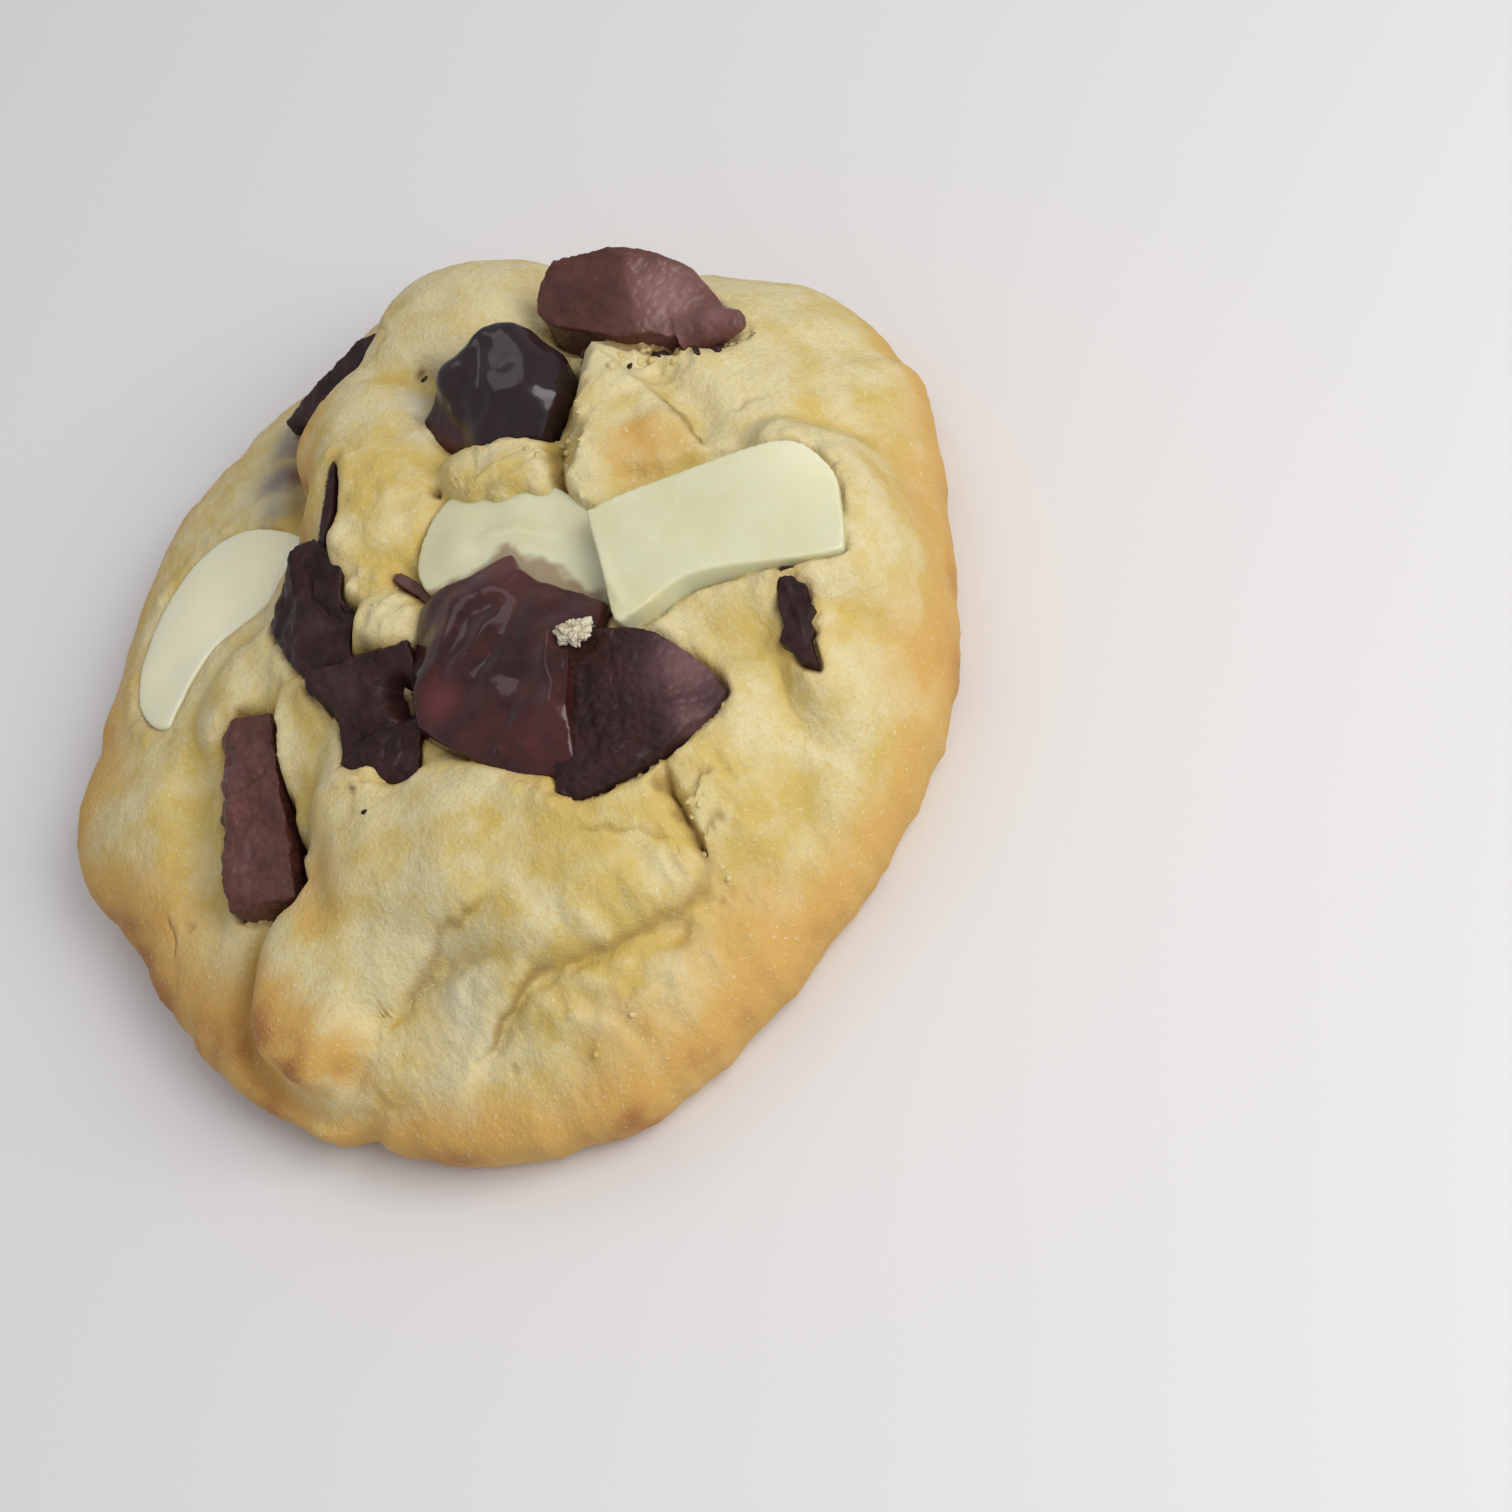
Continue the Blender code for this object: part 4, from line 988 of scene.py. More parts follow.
# Torn edges: how high the left side of the line stands over the right, how far back that fades, how far the
# left side reaches out over the right, line in plan
tears = {
    "bridge edge": (1.4, 1.8, 0.6, ((1.4, 7.6), (2.1, 6.4), (2.8, 5.4), (4.5, 5.9), (6.9, 5.4), (8.7, 3.8),
        (10.4, 1.0), (10.9, -2.2))),
    "bridge far edge": (0.9, 1.0, 0.2, ((11.4, 1.8), (12.8, 5.2), (13.2, 8.2))),
    "peak right edge": (1.6, 1.5, 0.5, ((22.6, -3.0), (22.5, 1.0), (21.9, 4.5), (21.0, 8.0), (20.4, 11.5))),
    "milk lip": (2.2, 1.8, 1.0, ((-16.0, 5.6), (-17.4, 3.0), (-19.4, 0.0), (-20.8, -2.9), (-21.6, -6.8),
        (-22.9, -12.4))),
    "lower fold": (2.8, 2.0, 1.5, lowerFoldEdge),
    "upper fold": (1.8, 1.6, 1.0, upperFoldEdge),
    "lobe edge": (1.8, 2.4, 0.4, ((-28.5, -10.5), (-31.4, -14.0), (-33.0, -18.6), (-32.8, -22.8),
        (-30.4, -26.4), (-26.6, -29.0), (-22.8, -29.8))),
    "mound edge": (1.6, 2.2, 0.3, ((7.4, 31.4), (1.4, 30.4), (-2.7, 27.8), (-5.9, 24.2), (-7.9, 19.9),
        (-8.4, 16.4))),
}  # fmt: skip

# How sharp a torn edge's step is, how far back its lip is drawn along, and the share of each end that fades
tearShape = {"stepWidth": 0.35, "lipReach": 1.2, "taper": 0.15}

# Round hollows: x, y, radius, depth; each also gets painted shade, stronger in the deeper ones
pits = {
    "bridge pit": (2.8, 9.3, 0.50, 1.1),
    "shelf pit": (-17.2, -34.1, 0.40, 0.4),
    "left pit": (-33.9, -5.1, 0.50, 0.4),
    "right dimple": (30.6, -4.8, 0.80, 0.5),
    "crack bend": (4.6, -26.3, 0.50, 0.9),
    "crack low": (4.4, -28.6, 0.45, 0.8),
}

# Uneven ground: x, y, radius, height and size of the lumps, and whether it is torn with sharp crests
groundLumps = {
    "shelf": (-7.0, -37.6, 11.0, 0.30, 2.8, False),
    "shelf plates": (-4.0, -36.0, 9.0, 0.30, 3.4, True),
    "shelf right": (5.0, -35.0, 8.0, 0.22, 2.4, False),
    "fold end": (4.0, -31.2, 2.8, 0.40, 1.3, True),
    "crack right": (8.0, -28.6, 3.4, 0.26, 1.5, True),
    "bridge": (7.4, 6.0, 4.6, 0.24, 2.2, True),
    "nub": (-6.4, 2.6, 4.0, 0.26, 2.2, True),
    "peak left": (14.0, 5.0, 3.0, 0.40, 1.6, True),
    "under milk chunk": (24.0, 8.6, 3.6, 0.40, 1.8, True),
    "mound": (0.0, 10.0, 5.0, 0.14, 1.6, False),
    "second fold": (-16.6, -27.0, 4.0, 0.16, 1.8, False),
}

# The upper part of these places leans outwards over what is below: x, y, radius, move in x and y, from and to
# height
leans = {"lobe": (-31.0, -21.6, 6.5, -1.9, -1.7, 9.5, 13.0)}

# Where the dough is browned: x, y, z, radius, strength; the mound patches are browning and also painted shade
# on the mound's left side
brownedPatches = {
    "peak": (19.9, -0.3, 22.0, 3.0, 0.50),
    "peak low": (18.0, -1.0, 21.5, 2.4, 0.36),
    "lobe tip": (-31.6, -19.0, 13.2, 3.6, 0.82),
    "lobe tip low": (-31.0, -22.6, 12.6, 3.6, 0.82),
    "lobe tip front": (-28.8, -25.6, 11.8, 2.6, 0.60),
    "lobe side": (-31.0, -15.4, 14.0, 3.0, 0.55),
    "left rim": (-38.0, -2.0, 6.0, 7.0, 0.60),
    "left rim far": (-34.0, 17.0, 6.0, 7.0, 0.30),
    "left rim near": (-36.0, -14.0, 6.0, 7.0, 0.50),
    "shelf": (3.0, -36.0, 10.0, 6.0, 0.30),
    "shelf left": (-8.0, -37.0, 9.5, 5.0, 0.24),
    "left shoulder": (-22.0, -14.0, 17.0, 3.8, 0.36),
    "left shoulder top": (-21.8, -8.0, 17.0, 2.4, 0.34),
    "mound": (-6.4, 20.5, 16.5, 3.6, 0.85),
    "mound far": (-3.6, 25.5, 15.5, 3.4, 0.80),
    "mound edge": (-8.6, 16.0, 16.5, 3.2, 0.80),
    "left": (-33.2, 12.2, 8.0, 3.6, 0.30),
    "front rim": (-11.0, -39.4, 6.0, 3.2, 0.45),
    "front rim right": (-6.4, -40.0, 6.0, 3.0, 0.40),
    "front lobe rim": (-25.0, -35.6, 5.0, 4.4, 0.35),
    "speck": (27.7, 4.2, 17.7, 0.6, 0.9),
    "right rim": (28.0, -24.0, 10.0, 7.0, 0.30),
    "right rim far": (34.0, -12.0, 10.0, 8.0, 0.25),
}

# Where a pale, milky or cocoa film lies on the dough: x, y, radius, strength; the cocoa spots in the cavities
# beside the left milk chunk are painted shade
films = {
    "pale": {"beside glossy chunk": (6.0, 19.6, 1.6, 0.7), "beside glossy low": (4.2, 15.0, 1.3, 0.6),
        "valley": (-18.0, -28.2, 3.0, 0.4)},
    "milky": {
        "far one": (-5.8, 31.6, 2.2, 0.85), "far two": (-8.2, 28.6, 2.4, 0.9),
        "far three": (-9.4, 25.4, 2.2, 0.6),
        "smear": (8.6, 22.4, 1.3, 0.5), "smear low": (5.2, 17.4, 0.9, 0.6),
    },
    "cocoaStainAndPaintedShade": {
        # the cavity spots are painted shade in the dark gap beside the left milk chunk
        "chunk hole": (-8.8, -5.6, 1.6, 0.95), "cavity": (-23.0, -8.0, 1.5, 0.85),
        "cavity far": (-22.0, -4.2, 1.1, 0.8), "cavity low": (-24.6, -10.6, 1.3, 0.8),
        "far band end": (-6.6, 27.6, 1.6, 0.75), "far band side": (-4.4, 30.2, 1.4, 0.8),
        "speck": (7.5, 23.1, 0.45, 0.9), "left speck": (-15.5, -10.1, 0.35, 0.9),
        "below milk chunk": (28.6, 7.4, 0.9, 0.8),
        "below milk middle": (24.4, 9.2, 0.7, 0.7), "below milk left": (20.4, 14.0, 0.8, 0.8),
    },
}  # fmt: skip

# Where the dough is yellower than elsewhere, or paler: x, y, radius, strength; the mound's yellower spot is
# partly its own colour and partly painted shade
tints = {
    "fold": (-1.0, -26.0, 9.0, 0.80),
    "mound": (-1.0, 14.0, 9.0, 0.55),
    "left mass": (-31.0, 1.0, 9.0, 0.35),
    "left shoulder": (-17.0, -12.0, 6.0, 0.30),
    "peak": (17.5, 3.0, 5.0, 0.35),
    "right of crack": (14.0, -28.0, 7.0, 0.15),
    "far right": (28.0, -1.0, 10.0, -0.20),
    "top right": (26.0, 9.0, 8.0, -0.50),
    "far lobe": (13.0, 27.0, 9.0, -0.15),
    "front slope": (-18.0, -28.5, 5.0, -0.45),
    "bridge": (7.0, 7.0, 4.0, 0.20),
}

pores = {"count": 260, "radius": (0.14, 0.28), "depth": (0.08, 0.22)}


def discPlaces(u, v):
    # turns places in the square -1 to 1 into shares of the radius and angles on a disc
    wide = np.abs(u) > np.abs(v)
    safeU, safeV = np.where(u == 0, 1, u), np.where(v == 0, 1, v)
    share = np.where(wide, np.abs(u), np.abs(v))
    sideways = math.pi / 4 * v / safeU + np.where(u < 0, math.pi, 0)
    upwards = math.pi / 2 - math.pi / 4 * u / safeV + np.where(v < 0, math.pi, 0)
    return share * (1 + dough["edgeCrowding"] * (1 - share**6)), np.where(wide, sideways, upwards)


def gatherTowards(xy, wobble, path, reach, share):
    # moves grid places nearer to a thin crack, so that the mesh is finer there
    gap, _, nearest, _ = pathPlaces(xy + wobble, path)
    pull = share * np.clip(1 - gap / reach, 0, 1) ** 2
    return xy + (nearest - xy - wobble) * pull[:, None]


def nearSpot(xy, x, y, radius, power=2):
    return np.exp(-((np.hypot(xy[:, 0] - x, xy[:, 1] - y) / radius) ** power))


def spotValues(xy, spots):
    total = np.zeros(len(xy))
    for x, y, radius, strength in spots.values():
        total = np.maximum(total, strength * nearSpot(xy, x, y, radius))
    return total


def carveLines(xy, wobble, masks):
    # how much the creases, cracks and cavities lower the dough; the cracks and cavities also get painted
    # shade
    total = np.zeros(len(xy))
    for depth, halfWidth, path in creases.values():
        gap, along, _, _ = pathPlaces(xy, path)
        total += depth * endTaper(along) * np.exp(-((gap / halfWidth) ** 2))
    for depth, halfWidth, paintedShadeStrength, path in cracks.values():
        gap, along, _, _ = pathPlaces(xy + wobble, path)
        drop = endTaper(along) * np.exp(-((gap / halfWidth) ** 2))
        total += depth * drop
        masks["paintedCreviceShade"] = np.maximum(masks["paintedCreviceShade"], paintedShadeStrength * drop)
    for depth, halfWidth, path in cavities.values():
        gap, along, _, _ = pathPlaces(xy + wobble, path)
        drop = endTaper(along) * np.exp(-((gap / halfWidth) ** 4))
        total += depth * drop
        masks["paintedCreviceShade"] = np.maximum(masks["paintedCreviceShade"], 0.7 * drop)
    return total


def tearHeights(xy):
    total = np.zeros(len(xy))
    for rise, reach, _, path in tears.values():
        gap, along, _, side = pathPlaces(xy, path)
        step = np.tanh(side * gap / tearShape["stepWidth"]) * np.exp(-gap / reach)
        total += 0.5 * rise * step * endTaper(along, tearShape["taper"])
    return total


def lipMoves(xy):
    # how far the raised side of each torn edge is drawn out over the lower side
    total = np.zeros((len(xy), 2))
    for _, _, overhang, path in tears.values():
        gap, along, _, side = pathPlaces(xy, path)
        run = np.array(path[-1]) - path[0]
        outwards = np.array([run[1], -run[0]]) / np.hypot(*run)
        raised = (1 + np.tanh(side * gap / tearShape["stepWidth"])) / 2
        share = raised * np.exp(-gap / tearShape["lipReach"]) * endTaper(along, tearShape["taper"])
        total += overhang * share[:, None] * outwards
    return total


def pitDepths(xy, masks):
    total = np.zeros(len(xy))
    for x, y, radius, depth in pits.values():
        drop = nearSpot(xy, x, y, radius, 4)
        total += depth * drop
        masks["paintedCreviceShade"] = np.maximum(masks["paintedCreviceShade"], min(1, depth) * 0.7 * drop)
    draw = random.Random(5)
    for _ in range(pores["count"]):
        angle, share = draw.uniform(0, 2 * math.pi), math.sqrt(draw.uniform(0.02, 0.95))
        away = dough["radius"] * share
        x, y = away * math.cos(angle), away * math.sin(angle)
        radius, depth = draw.uniform(*pores["radius"]), draw.uniform(*pores["depth"])
        near = (np.abs(xy[:, 0] - x) < 1.0) & (np.abs(xy[:, 1] - y) < 1.0)
        total[near] += depth * nearSpot(xy[near], x, y, radius)
    return total


def lumpHeights(xy, seed):
    total = np.zeros(len(xy))
    for index, (x, y, radius, height, size, torn) in enumerate(groundLumps.values()):
        near = np.where(np.hypot(xy[:, 0] - x, xy[:, 1] - y) < 1.5 * radius)[0]
        values = roughValues(flatPlaces(xy[near]), size, seed + index, 2)
        if torn:
            values = 0.6 - 2 * np.abs(values)
        total[near] += height * values * nearSpot(xy[near], x, y, radius, 4)
    return total


# How the dough meets the chocolate. reach: how far round a piece the dough is changed; gap: the thin gap
# beside the piece; swell: the low swell round that gap; melted: pieces that have hardly any gap
# sink: how far below the piece's top the dough lies at least; cocoa: strength of the cocoa stain round a
# brown piece; shade: strength of the painted shade in the gap round a white piece; both are stainWidth wide;
# warmth: strength of the browned dough round the stain
contact = {
    "reach": 3.0,
    "gapDepth": 0.6,
    "gapWidth": 0.30,
    "swell": 0.22,
    "swellPlace": 1.1,
    "swellWidth": 0.8,
    "melted": ("whiteSlabLeft", "meltedSliver", "chocolateShard"),
    "sink": 0.25,
    "stainWidth": 0.35,
    "cocoaStainAndPaintedShade": 0.75,
    "shade": 0.30,
    "warmth": 0.22,
    "warmWidth": 0.9,
}


def fitRoundPiece(points, piece, stains, masks):
    # draws the dough down into a thin gap round a piece of chocolate, and sinks it below the piece
    corners = readPoints(piece)
    tree = BVHTree.FromPolygons(corners.tolist(), [list(face.vertices) for face in piece.data.polygons])
    low, high = corners.min(axis=0) - contact["reach"], corners.max(axis=0) + contact["reach"]
    inBox = (points[:, :2] > low[:2]) & (points[:, :2] < high[:2])
    near = np.where(inBox.all(axis=1))[0]
    top, gap = np.full(len(near), nothingThere), np.empty(len(near))
    for place, (x, y, z) in enumerate(points[near].tolist()):
        hit = tree.ray_cast(Vector((x, y, rayHeight)), Vector((0, 0, -1)))
        if hit[0] is not None:
            top[place] = hit[0].z
            z = min(z, top[place] - 2)
        gap[place] = tree.find_nearest(Vector((x, y, z)))[3]
    z = points[near, 2]
    inLine = top > nothingThere
    ragged = roughValues(flatPlaces(points[near, :2]), 2.2, 41, 2)
    # 0 where the dough lies on the piece or beside it, 1 where the piece shows
    over = smoothStep(top - z, -0.6, 0.4)
    depth = contact["gapDepth"] * (0.1 if piece.name in contact["melted"] else 1)
    groove = depth * np.clip(0.7 + 0.6 * ragged, 0, 1.3) * np.exp(-((gap / contact["gapWidth"]) ** 2))
    swell = contact["swell"] * np.exp(-(((gap - contact["swellPlace"]) / contact["swellWidth"]) ** 2))
    beside = z - groove + swell * (1 + ragged)
    beside = np.where(inLine, z - 0.3 * groove, beside)
    sunk = top - contact["sink"] - smoothStep(gap, 0, 0.35) - smoothStep(gap, 0.3, 1.1)
    below = np.minimum(z - groove, sunk)
    points[near, 2] = beside + (below - beside) * over
    # round brown pieces this ring is a cocoa stain, round white pieces it is painted shade in the gap
    stain = np.exp(-((gap / contact["stainWidth"]) ** 2))
    close = np.where(inLine, over, 1) * stain * np.clip(0.6 + ragged, 0, 1)
    if stains:
        masks["cocoaStainAndPaintedShade"][near] = np.maximum(masks["cocoaStainAndPaintedShade"][near], contact["cocoaStainAndPaintedShade"] * close)
        warm = contact["warmth"] * np.exp(-((gap / contact["warmWidth"]) ** 2))
        masks["browned"][near] = np.maximum(masks["browned"][near], warm)
    else:
        masks["paintedCreviceShade"][near] = np.maximum(masks["paintedCreviceShade"][near], contact["shade"] * close)


def blurGrid(values, passes):
    side = dough["cells"] + 1
    grid = values.reshape(side, side)
    for _ in range(passes):
        wide = np.pad(grid, 1, mode="edge")
        grid = (wide[:-2, 1:-1] + wide[2:, 1:-1] + wide[1:-1, :-2] + wide[1:-1, 2:] + grid) / 5
    return grid.ravel()


def easeSteepPlaces(piece, share, passes):
    # evens out the mesh on steep walls, whose few long faces would show as saw teeth
    for _ in range(passes):
        points = readPoints(piece)
        steep = smoothStep(readNormals(piece)[:, 2], 0.80, 0.45) * smoothStep(share, 1.0, 0.985)
        eased = np.column_stack([blurGrid(points[:, axis], 1) for axis in range(3)])
        writePoints(piece, points + (eased - points) * steep[:, None])


def addRing(drop, scale):
    bpy.ops.mesh.extrude_edges_move()
    bpy.ops.transform.translate(value=(0, 0, drop * mm))
    bpy.ops.transform.resize(value=(scale, scale, 1), center_override=(0, 0, 0))


def closeUnderside(piece):
    startEditing(piece, "EDGE", "DESELECT")
    bpy.ops.mesh.select_non_manifold()
    for drop, scale in dough["undersideRings"]:
        addRing(drop, scale)
    bpy.ops.mesh.edge_face_add()
    bpy.ops.mesh.select_all(action="SELECT")
    bpy.ops.mesh.normals_make_consistent(inside=False)
    bpy.ops.object.mode_set(mode="OBJECT")


# Strength of the browned dough: at the rim, how patchy that is, how patchy the blotches are, and at the foot
browning = {"rim": 0.48, "rimPatches": 0.35, "blotchPatches": 0.25, "foot": 0.25}

# Strength of the yellow dough: everywhere, in patches, on steep places and in hollows; on steep places and in
# hollows the yellower, darker colour is painted shade
yellowing = {"everywhere": 0.40, "patches": 0.40, "steep": 0.20, "hollows": 0.5}


def finishDoughMasks(piece, masks):
    points, normals = readPoints(piece), readNormals(piece)
    missing = len(points) - len(masks["paintedCreviceShade"])
    masks = {name: np.concatenate([values, np.zeros(missing)]) for name, values in masks.items()}
    xy = points[:, :2]
    share = np.hypot(xy[:, 0], xy[:, 1]) / outlineAt(np.arctan2(xy[:, 1], xy[:, 0]))
    patchy = roughValues(points, 6.0, 51, 3)
    edgePatchy = roughValues(points, 2.4, 53, 2)
    rim = smoothStep(share, 0.80, 1.0) * smoothStep(points[:, 2], 13.5, 4.0)
    low = smoothStep(points[:, 2], 3.0, 0.0)
    wobbled = points + 0.8 * np.column_stack([edgePatchy, patchy, edgePatchy])
    blotches = np.zeros(len(points))
    for x, y, z, radius, strength in brownedPatches.values():
        away = np.linalg.norm(wobbled - (x, y, z), axis=1)
        blotches = np.maximum(blotches, strength * np.exp(-((away / radius) ** 2)))
    browned = browning["rim"] * rim * (1 + browning["rimPatches"] * patchy)
    browned += blotches * (1 + browning["blotchPatches"] * edgePatchy)
    browned += browning["foot"] * low
    masks["browned"] = np.maximum(masks["browned"], browned)
    steep = 1 - np.clip(normals[:, 2], 0, 1)
    tint = sum(strength * nearSpot(xy, x, y, radius) for x, y, radius, strength in tints.values())
    yellow = yellowing["everywhere"] + yellowing["patches"] * patchy + yellowing["steep"] * steep
    # yellower, darker dough on steep places and in hollows is painted shade
    masks["yellow"] = yellow + yellowing["hollows"] * masks.pop("hollow") + tint
    for name, spots in films.items():
        masks[name] = np.maximum(masks.get(name, 0), spotValues(xy + 0.5 * edgePatchy[:, None], spots))
    for name, values in masks.items():
        writeMask(piece, name, values)


# Unevenness of the dough: height or sideways move, and size
unevenness = {
    "rim": (0.30, 4.0),
    "cracks": (0.30, 1.7),
    "mounds": (0.55, 5.5),
    "top": (0.30, 6.0),
}

# Bumps of the dough's skin: height, size, seed
skinBumps = ((0.030, 2.8, 61), (0.020, 1.1, 63), (0.040, 0.5, 65))


def doughPlan(share, angle):
    # the dough's places in plan, crowded along its cracks and torn edges, and the wobble of those lines
    move, size = unevenness["rim"]
    ripple = np.column_stack([np.cos(angle), np.sin(angle), 0 * angle])
    rimNoise = move * roughValues(ripple * dough["radius"], size, 21, 3)
    radius = share * (outlineAt(angle) + rimNoise * smoothStep(share, 0.8, 1))
    xy = np.column_stack([radius * np.cos(angle), radius * np.sin(angle)])
    flat = flatPlaces(xy)
    move, size = unevenness["cracks"]
    wobble = np.column_stack([roughValues(flat, size, 31, 3), roughValues(flat, size, 33, 3)]) * move
    for _, halfWidth, _, path in cracks.values():
        xy = gatherTowards(xy, wobble, path, 1.6, 0.5 if halfWidth < 0.25 else 0.3)
    for *_, path in tears.values():
        xy = gatherTowards(xy, wobble, path, 2.0, 0.3)
    return xy, wobble


def doughTop(xy, wobble, share, masks):
    # the height at each place, before the chocolate is fitted
    flat = flatPlaces(xy)
    move, size = unevenness["mounds"]
    bent = xy + move * np.column_stack([roughValues(flat, size, 1, 2), roughValues(flat, size, 2, 2)])
    relief = moundRelief(bent)
    lump, size = unevenness["top"]
    height = relief + lump * roughValues(flat, size, 3, 2) + lumpHeights(xy, 80)
    height += tearHeights(xy + wobble) - carveLines(xy, wobble, masks)
    height -= pitDepths(xy + 0.5 * wobble, masks)
    return edgeRounded(height, share) + bankLift(xy, edgeRounded(relief, share), share)


def makeDough():
    deselectAll()
    bpy.ops.mesh.primitive_grid_add(x_subdivisions=dough["cells"], y_subdivisions=dough["cells"], size=2)
    piece = bpy.context.active_object
    piece.name = piece.data.name = "bakedDough"
    square = readPoints(piece)[:, :2] * mm
    share, angle = discPlaces(square[:, 0], square[:, 1])
    xy, wobble = doughPlan(share, angle)
    masks = {"paintedCreviceShade": np.zeros(len(xy)), "cocoaStainAndPaintedShade": np.zeros(len(xy)), "browned": np.zeros(len(xy))}
    z = doughTop(xy, wobble, share, masks)
    # how far each place lies below its surroundings, which sets the painted shade in hollows
    masks["hollow"] = np.clip(blurGrid(z, 120) - z, -0.5, 1.0)
    points = np.column_stack([xy, z])
    for name, chocolate in chocolates.items():
        fitRoundPiece(points, chocolate, not name.startswith("white"), masks)
    for x, y, radius, moveX, moveY, lowZ, highZ in leans.values():
        leanShare = nearSpot(points, x, y, radius) * smoothStep(points[:, 2], lowZ, highZ)
        points[:, :2] += leanShare[:, None] * (moveX, moveY)
    points[:, :2] += lipMoves(xy + wobble)
    writePoints(piece, points)
    easeSteepPlaces(piece, share, 4)
    points, normals = readPoints(piece), readNormals(piece)
    inner = smoothStep(share, 1.0, 0.97)
    bumps = sum(height * roughValues(points, size, seed) for height, size, seed in skinBumps)
    writePoints(piece, points + normals * (bumps * inner)[:, None])
    closeUnderside(piece)
    finishDoughMasks(piece, masks)
    makeActive(piece)
    bpy.ops.object.shade_smooth_by_angle(angle=math.radians(50))
    return dressPiece(piece, doughMaterial, "dough")


doughPiece = makeDough()
print("stage: dough made,", len(doughPiece.data.polygons), "faces")


# Small pieces: the cream crumb on the molten chunk, loose dough crumbs and chocolate flecks

creamCrumb = {
    "place": (5.9, -13.2, 23.3),
    "radius": 1.25,
    "flatness": 0.75,
    "bumps": ((0.45, 1.3, 91), (0.12, 0.4, 92)),  # height, size, seed
    "holes": (0.14, 0.7, 3),  # depth, size, seed
}

# Where small bits lie: x, y, spread, how many, radius from and to
crumbPlaces = {
    "peak side": (12.8, 5.0, 1.0, 6, 0.20, 0.40),
    "under milk chunk": (23.6, 8.2, 2.0, 12, 0.20, 0.45),
    "chunk crack": (6.0, -28.6, 0.8, 4, 0.16, 0.32),
    "fold end": (5.0, -31.6, 0.8, 2, 0.18, 0.32),
    "rim": (-11.5, -40.0, 2.0, 3, 0.20, 0.32),
}
fleckPlaces = {
    "milk chunk left end": (19.6, 13.4, 0.7, 3, 0.35, 0.60),
    "milk chunk middle": (24.0, 8.8, 1.0, 5, 0.35, 0.55),
    "milk chunk right end": (28.6, 6.2, 0.8, 4, 0.40, 0.60),
    "far of glossy chunk": (7.5, 23.1, 0.3, 1, 0.35, 0.40),
    "lower left": (-15.5, -12.4, 0.3, 1, 0.22, 0.28),
}


def roundBit(name, subdivisions, radius, stretch):
    deselectAll()
    bpy.ops.mesh.primitive_ico_sphere_add(subdivisions=subdivisions, radius=radius * mm)
    piece = bpy.context.active_object
    piece.name = piece.data.name = name
    writePoints(piece, readPoints(piece) * np.array(stretch))
    bpy.ops.object.shade_smooth()
    return piece


def makeCreamCrumb():
    radius = creamCrumb["radius"]
    piece = roundBit("creamCrumb", 6, radius, (1, 1, creamCrumb["flatness"]))
    points, normals = readPoints(piece), readNormals(piece)
    bumps = [height * roughValues(points, size, seed, 2) for height, size, seed in creamCrumb["bumps"]]
    depth, size, seed = creamCrumb["holes"]
    holes = crackleValues(points, size, seed)
    moves = sum(bumps) + depth * holes
    writePoints(piece, points + normals * moves[:, None] + np.array(creamCrumb["place"]))
    writeMask(piece, "pale", np.full(len(points), 0.9))
    # painted shade in the crumb's holes
    writeMask(piece, "paintedCreviceShade", 0.5 * smoothStep(-holes, 0.5, 1.0))
    return dressPiece(piece, doughMaterial)


def surfaceTrees():
    # the search tree of the dough, and those of the chocolate
    trees = []
    for piece in [doughPiece, *chocolates.values()]:
        faces = [list(face.vertices) for face in piece.data.polygons]
        trees.append(BVHTree.FromPolygons(readPoints(piece).tolist(), faces))
    return trees


def scatterBits(name, places, base, material, seed, trees):
    # copies the base bit to random places on the bare dough, turned and scaled, and joins the copies
    draw = random.Random(seed)
    copies = []
    for x, y, spread, count, small, large in places.values():
        for _ in range(count):
            start = Vector((draw.gauss(x, spread), draw.gauss(y, spread), rayHeight))
            size = draw.uniform(small, large)
            turn = Matrix.Rotation(draw.uniform(0, 2 * math.pi), 4, (draw.random(), draw.random(), 1))
            place, *covers = [tree.ray_cast(start, Vector((0, 0, -1)))[0] for tree in trees]
            if place is None or any(cover is not None and cover.z > place.z for cover in covers):
                continue
            copy = bpy.data.objects.new(name, base.data.copy())
            bpy.context.scene.collection.objects.link(copy)
            move = Matrix.Translation(place * mm)
            copy.data.transform(move @ turn @ Matrix.Scale(size, 4))
            copies.append(copy)
    bpy.data.objects.remove(base)
    makeActive(copies[0])
    for copy in copies:
        copy.select_set(True)
    bpy.ops.object.join()
    return dressPiece(copies[0], material)


def makeSmallPieces():
    makeCreamCrumb()
    trees = surfaceTrees()
    crumb = roundBit("crumbBase", 3, 1.0, (1.0, 0.85, 0.70))
    points, normals = readPoints(crumb), readNormals(crumb)
    writePoints(crumb, points + normals * (0.22 * roughValues(points, 1.1, 93, 2))[:, None])
    writeMask(crumb, "yellow", np.full(len(points), 0.6))
    scatterBits("doughCrumbs", crumbPlaces, crumb, doughMaterial, 8, trees)
    fleck = roundBit("fleckBase", 2, 1.0, (1.0, 0.7, 0.4))
    points, normals = readPoints(fleck), readNormals(fleck)
    writePoints(fleck, points + normals * (0.25 * roughValues(points, 0.8, 94))[:, None])
    material = chocolateMaterials["dark chocolate"]
    scatterBits("chocolateFlecks", fleckPlaces, fleck, material, 9, trees)


makeSmallPieces()
print("stage: small pieces made")


# Floor, light and camera

studio = {
    "floorSize": 3.0,
    "floorColour": (0.80, 0.79, 0.78),
    "worldColour": (0.95, 0.95, 1.0),
    "worldStrength": 0.46,
}

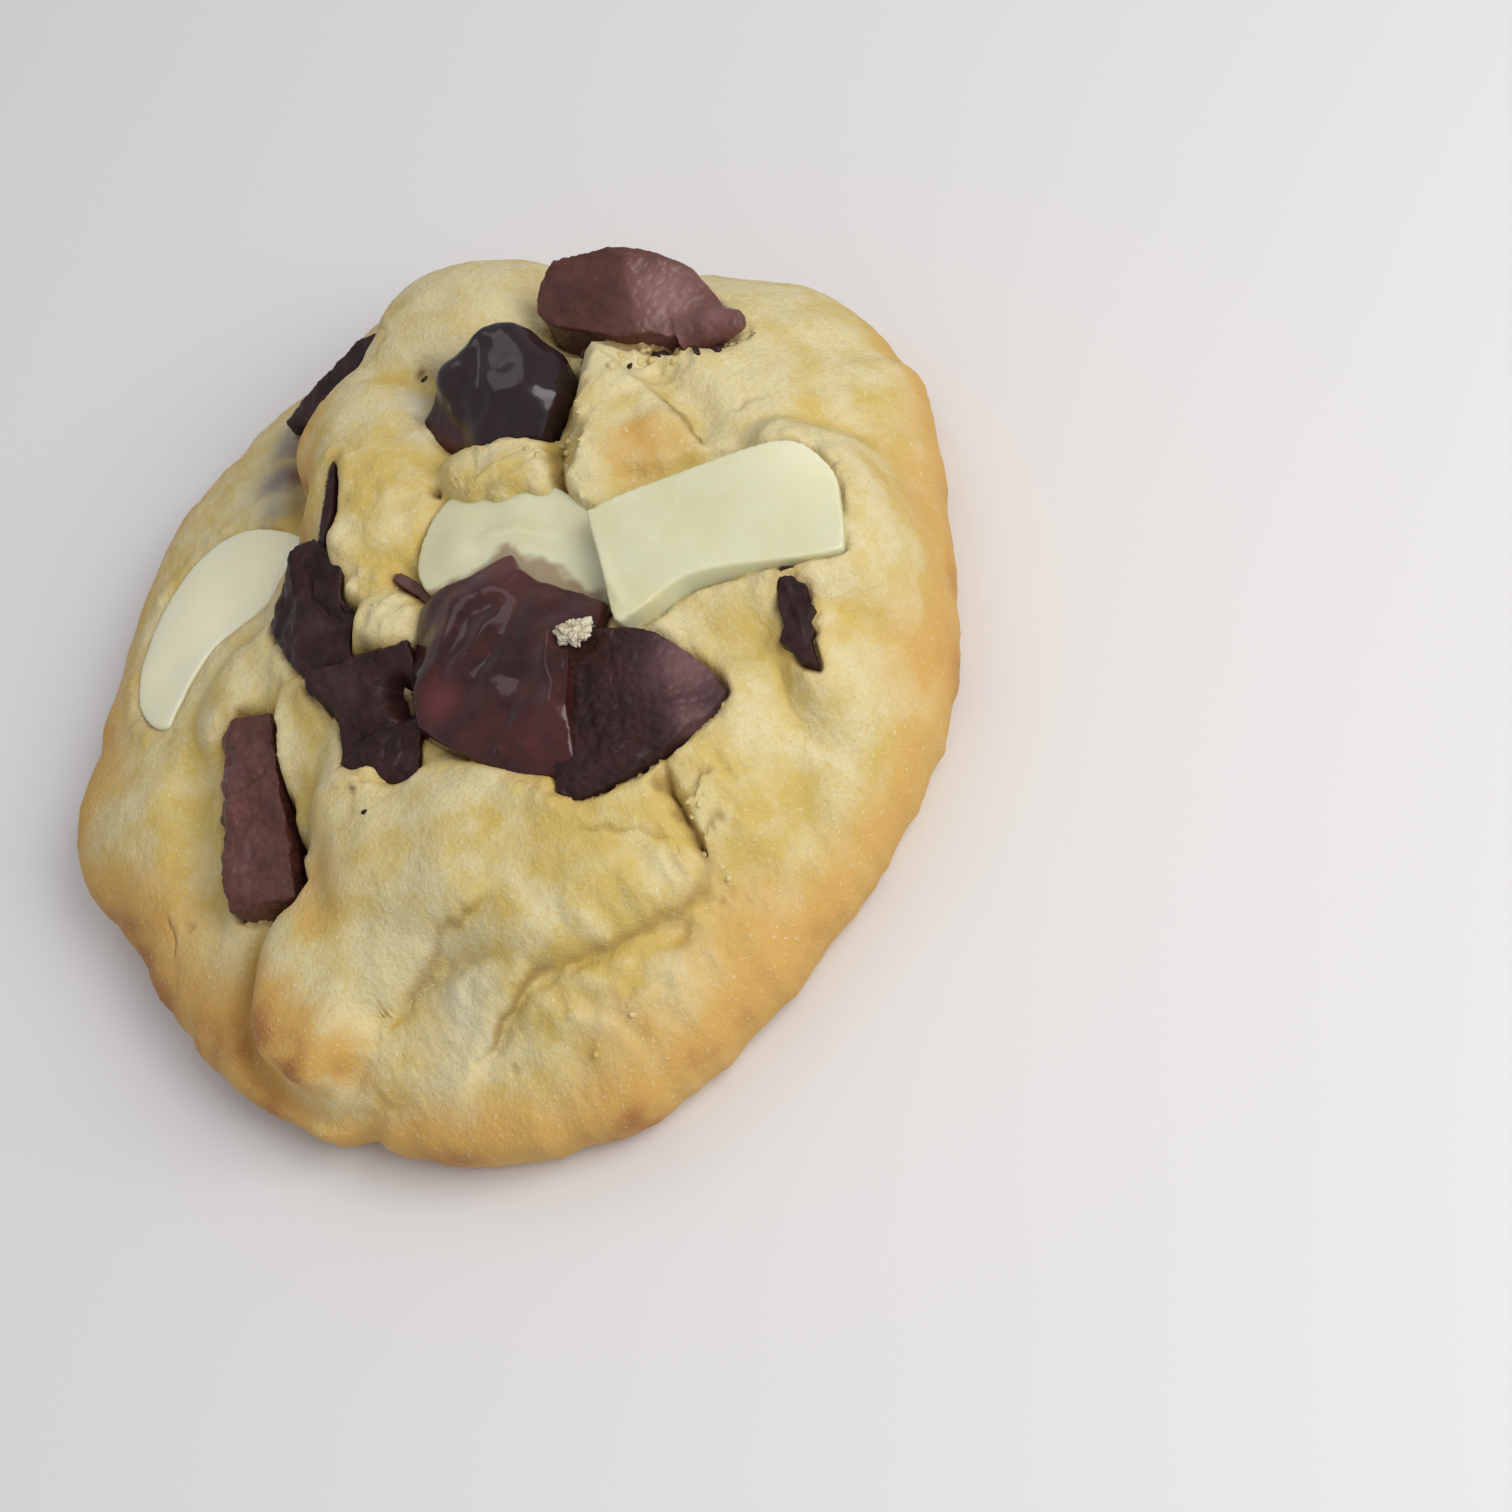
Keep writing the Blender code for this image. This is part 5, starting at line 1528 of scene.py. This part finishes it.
# Direction from the cookie, distance, size, power and colour; the sheen light is seen only as a soft
# reflection
lights = {
    "windowLight": ((0.50, -0.52, 0.69), 0.42, 0.28, 1.20, (1.0, 0.98, 0.96)),
    "sheenLight": ((0.06, 0.54, 0.84), 0.50, 0.20, 0.15, (0.92, 0.90, 1.0)),
}

view = {
    "right": (0.8192, -0.4699, -0.3290),
    "up": (0.5736, 0.6710, 0.4699),
    "back": (0.0, -0.5736, 0.8192),
    "target": (0.011915, -0.015073, -0.001993),
    "distance": 0.300,
    "lens": 86.43,
}


def makeFloor():
    deselectAll()
    bpy.ops.mesh.primitive_plane_add(size=studio["floorSize"])
    floor = bpy.context.active_object
    floor.name = "floor"
    material, _, _ = startMaterial("floor", {"Roughness": 0.8, "Base Color": studio["floorColour"]})
    floor.data.materials.append(material)


def makeLight(name, direction, distance, size, power, colour):
    deselectAll()
    direction = Vector(direction).normalized()
    bpy.ops.object.light_add(type="AREA", location=direction * distance)
    light = bpy.context.active_object
    light.name = name
    light.rotation_euler = direction.to_track_quat("Z", "Y").to_euler()
    light.data.shape = "SQUARE"
    light.data.size = size
    light.data.energy = power
    light.data.color = colour


def makeRoomLight():
    world = bpy.data.worlds.new("softRoom")
    world.use_nodes = True
    background = world.node_tree.nodes["Background"]
    background.inputs["Color"].default_value = (*studio["worldColour"], 1)
    background.inputs["Strength"].default_value = studio["worldStrength"]
    bpy.context.scene.world = world


def makeCamera():
    deselectAll()
    bpy.ops.object.camera_add()
    camera = bpy.context.active_object
    right, up, back = (Vector(view[name]) for name in ("right", "up", "back"))
    place = Vector(view["target"]) + back * view["distance"]
    turn = Matrix((right, up, back)).transposed().to_4x4()
    camera.matrix_world = Matrix.Translation(place) @ turn
    camera.data.lens = view["lens"]
    camera.data.sensor_width = 36
    camera.data.clip_start = 0.01
    bpy.context.scene.camera = camera
    bpy.context.scene.view_settings.view_transform = "Standard"


makeFloor()
for name, settings in lights.items():
    makeLight(name, *settings)
makeRoomLight()
makeCamera()
print("stage: floor, light and camera made")
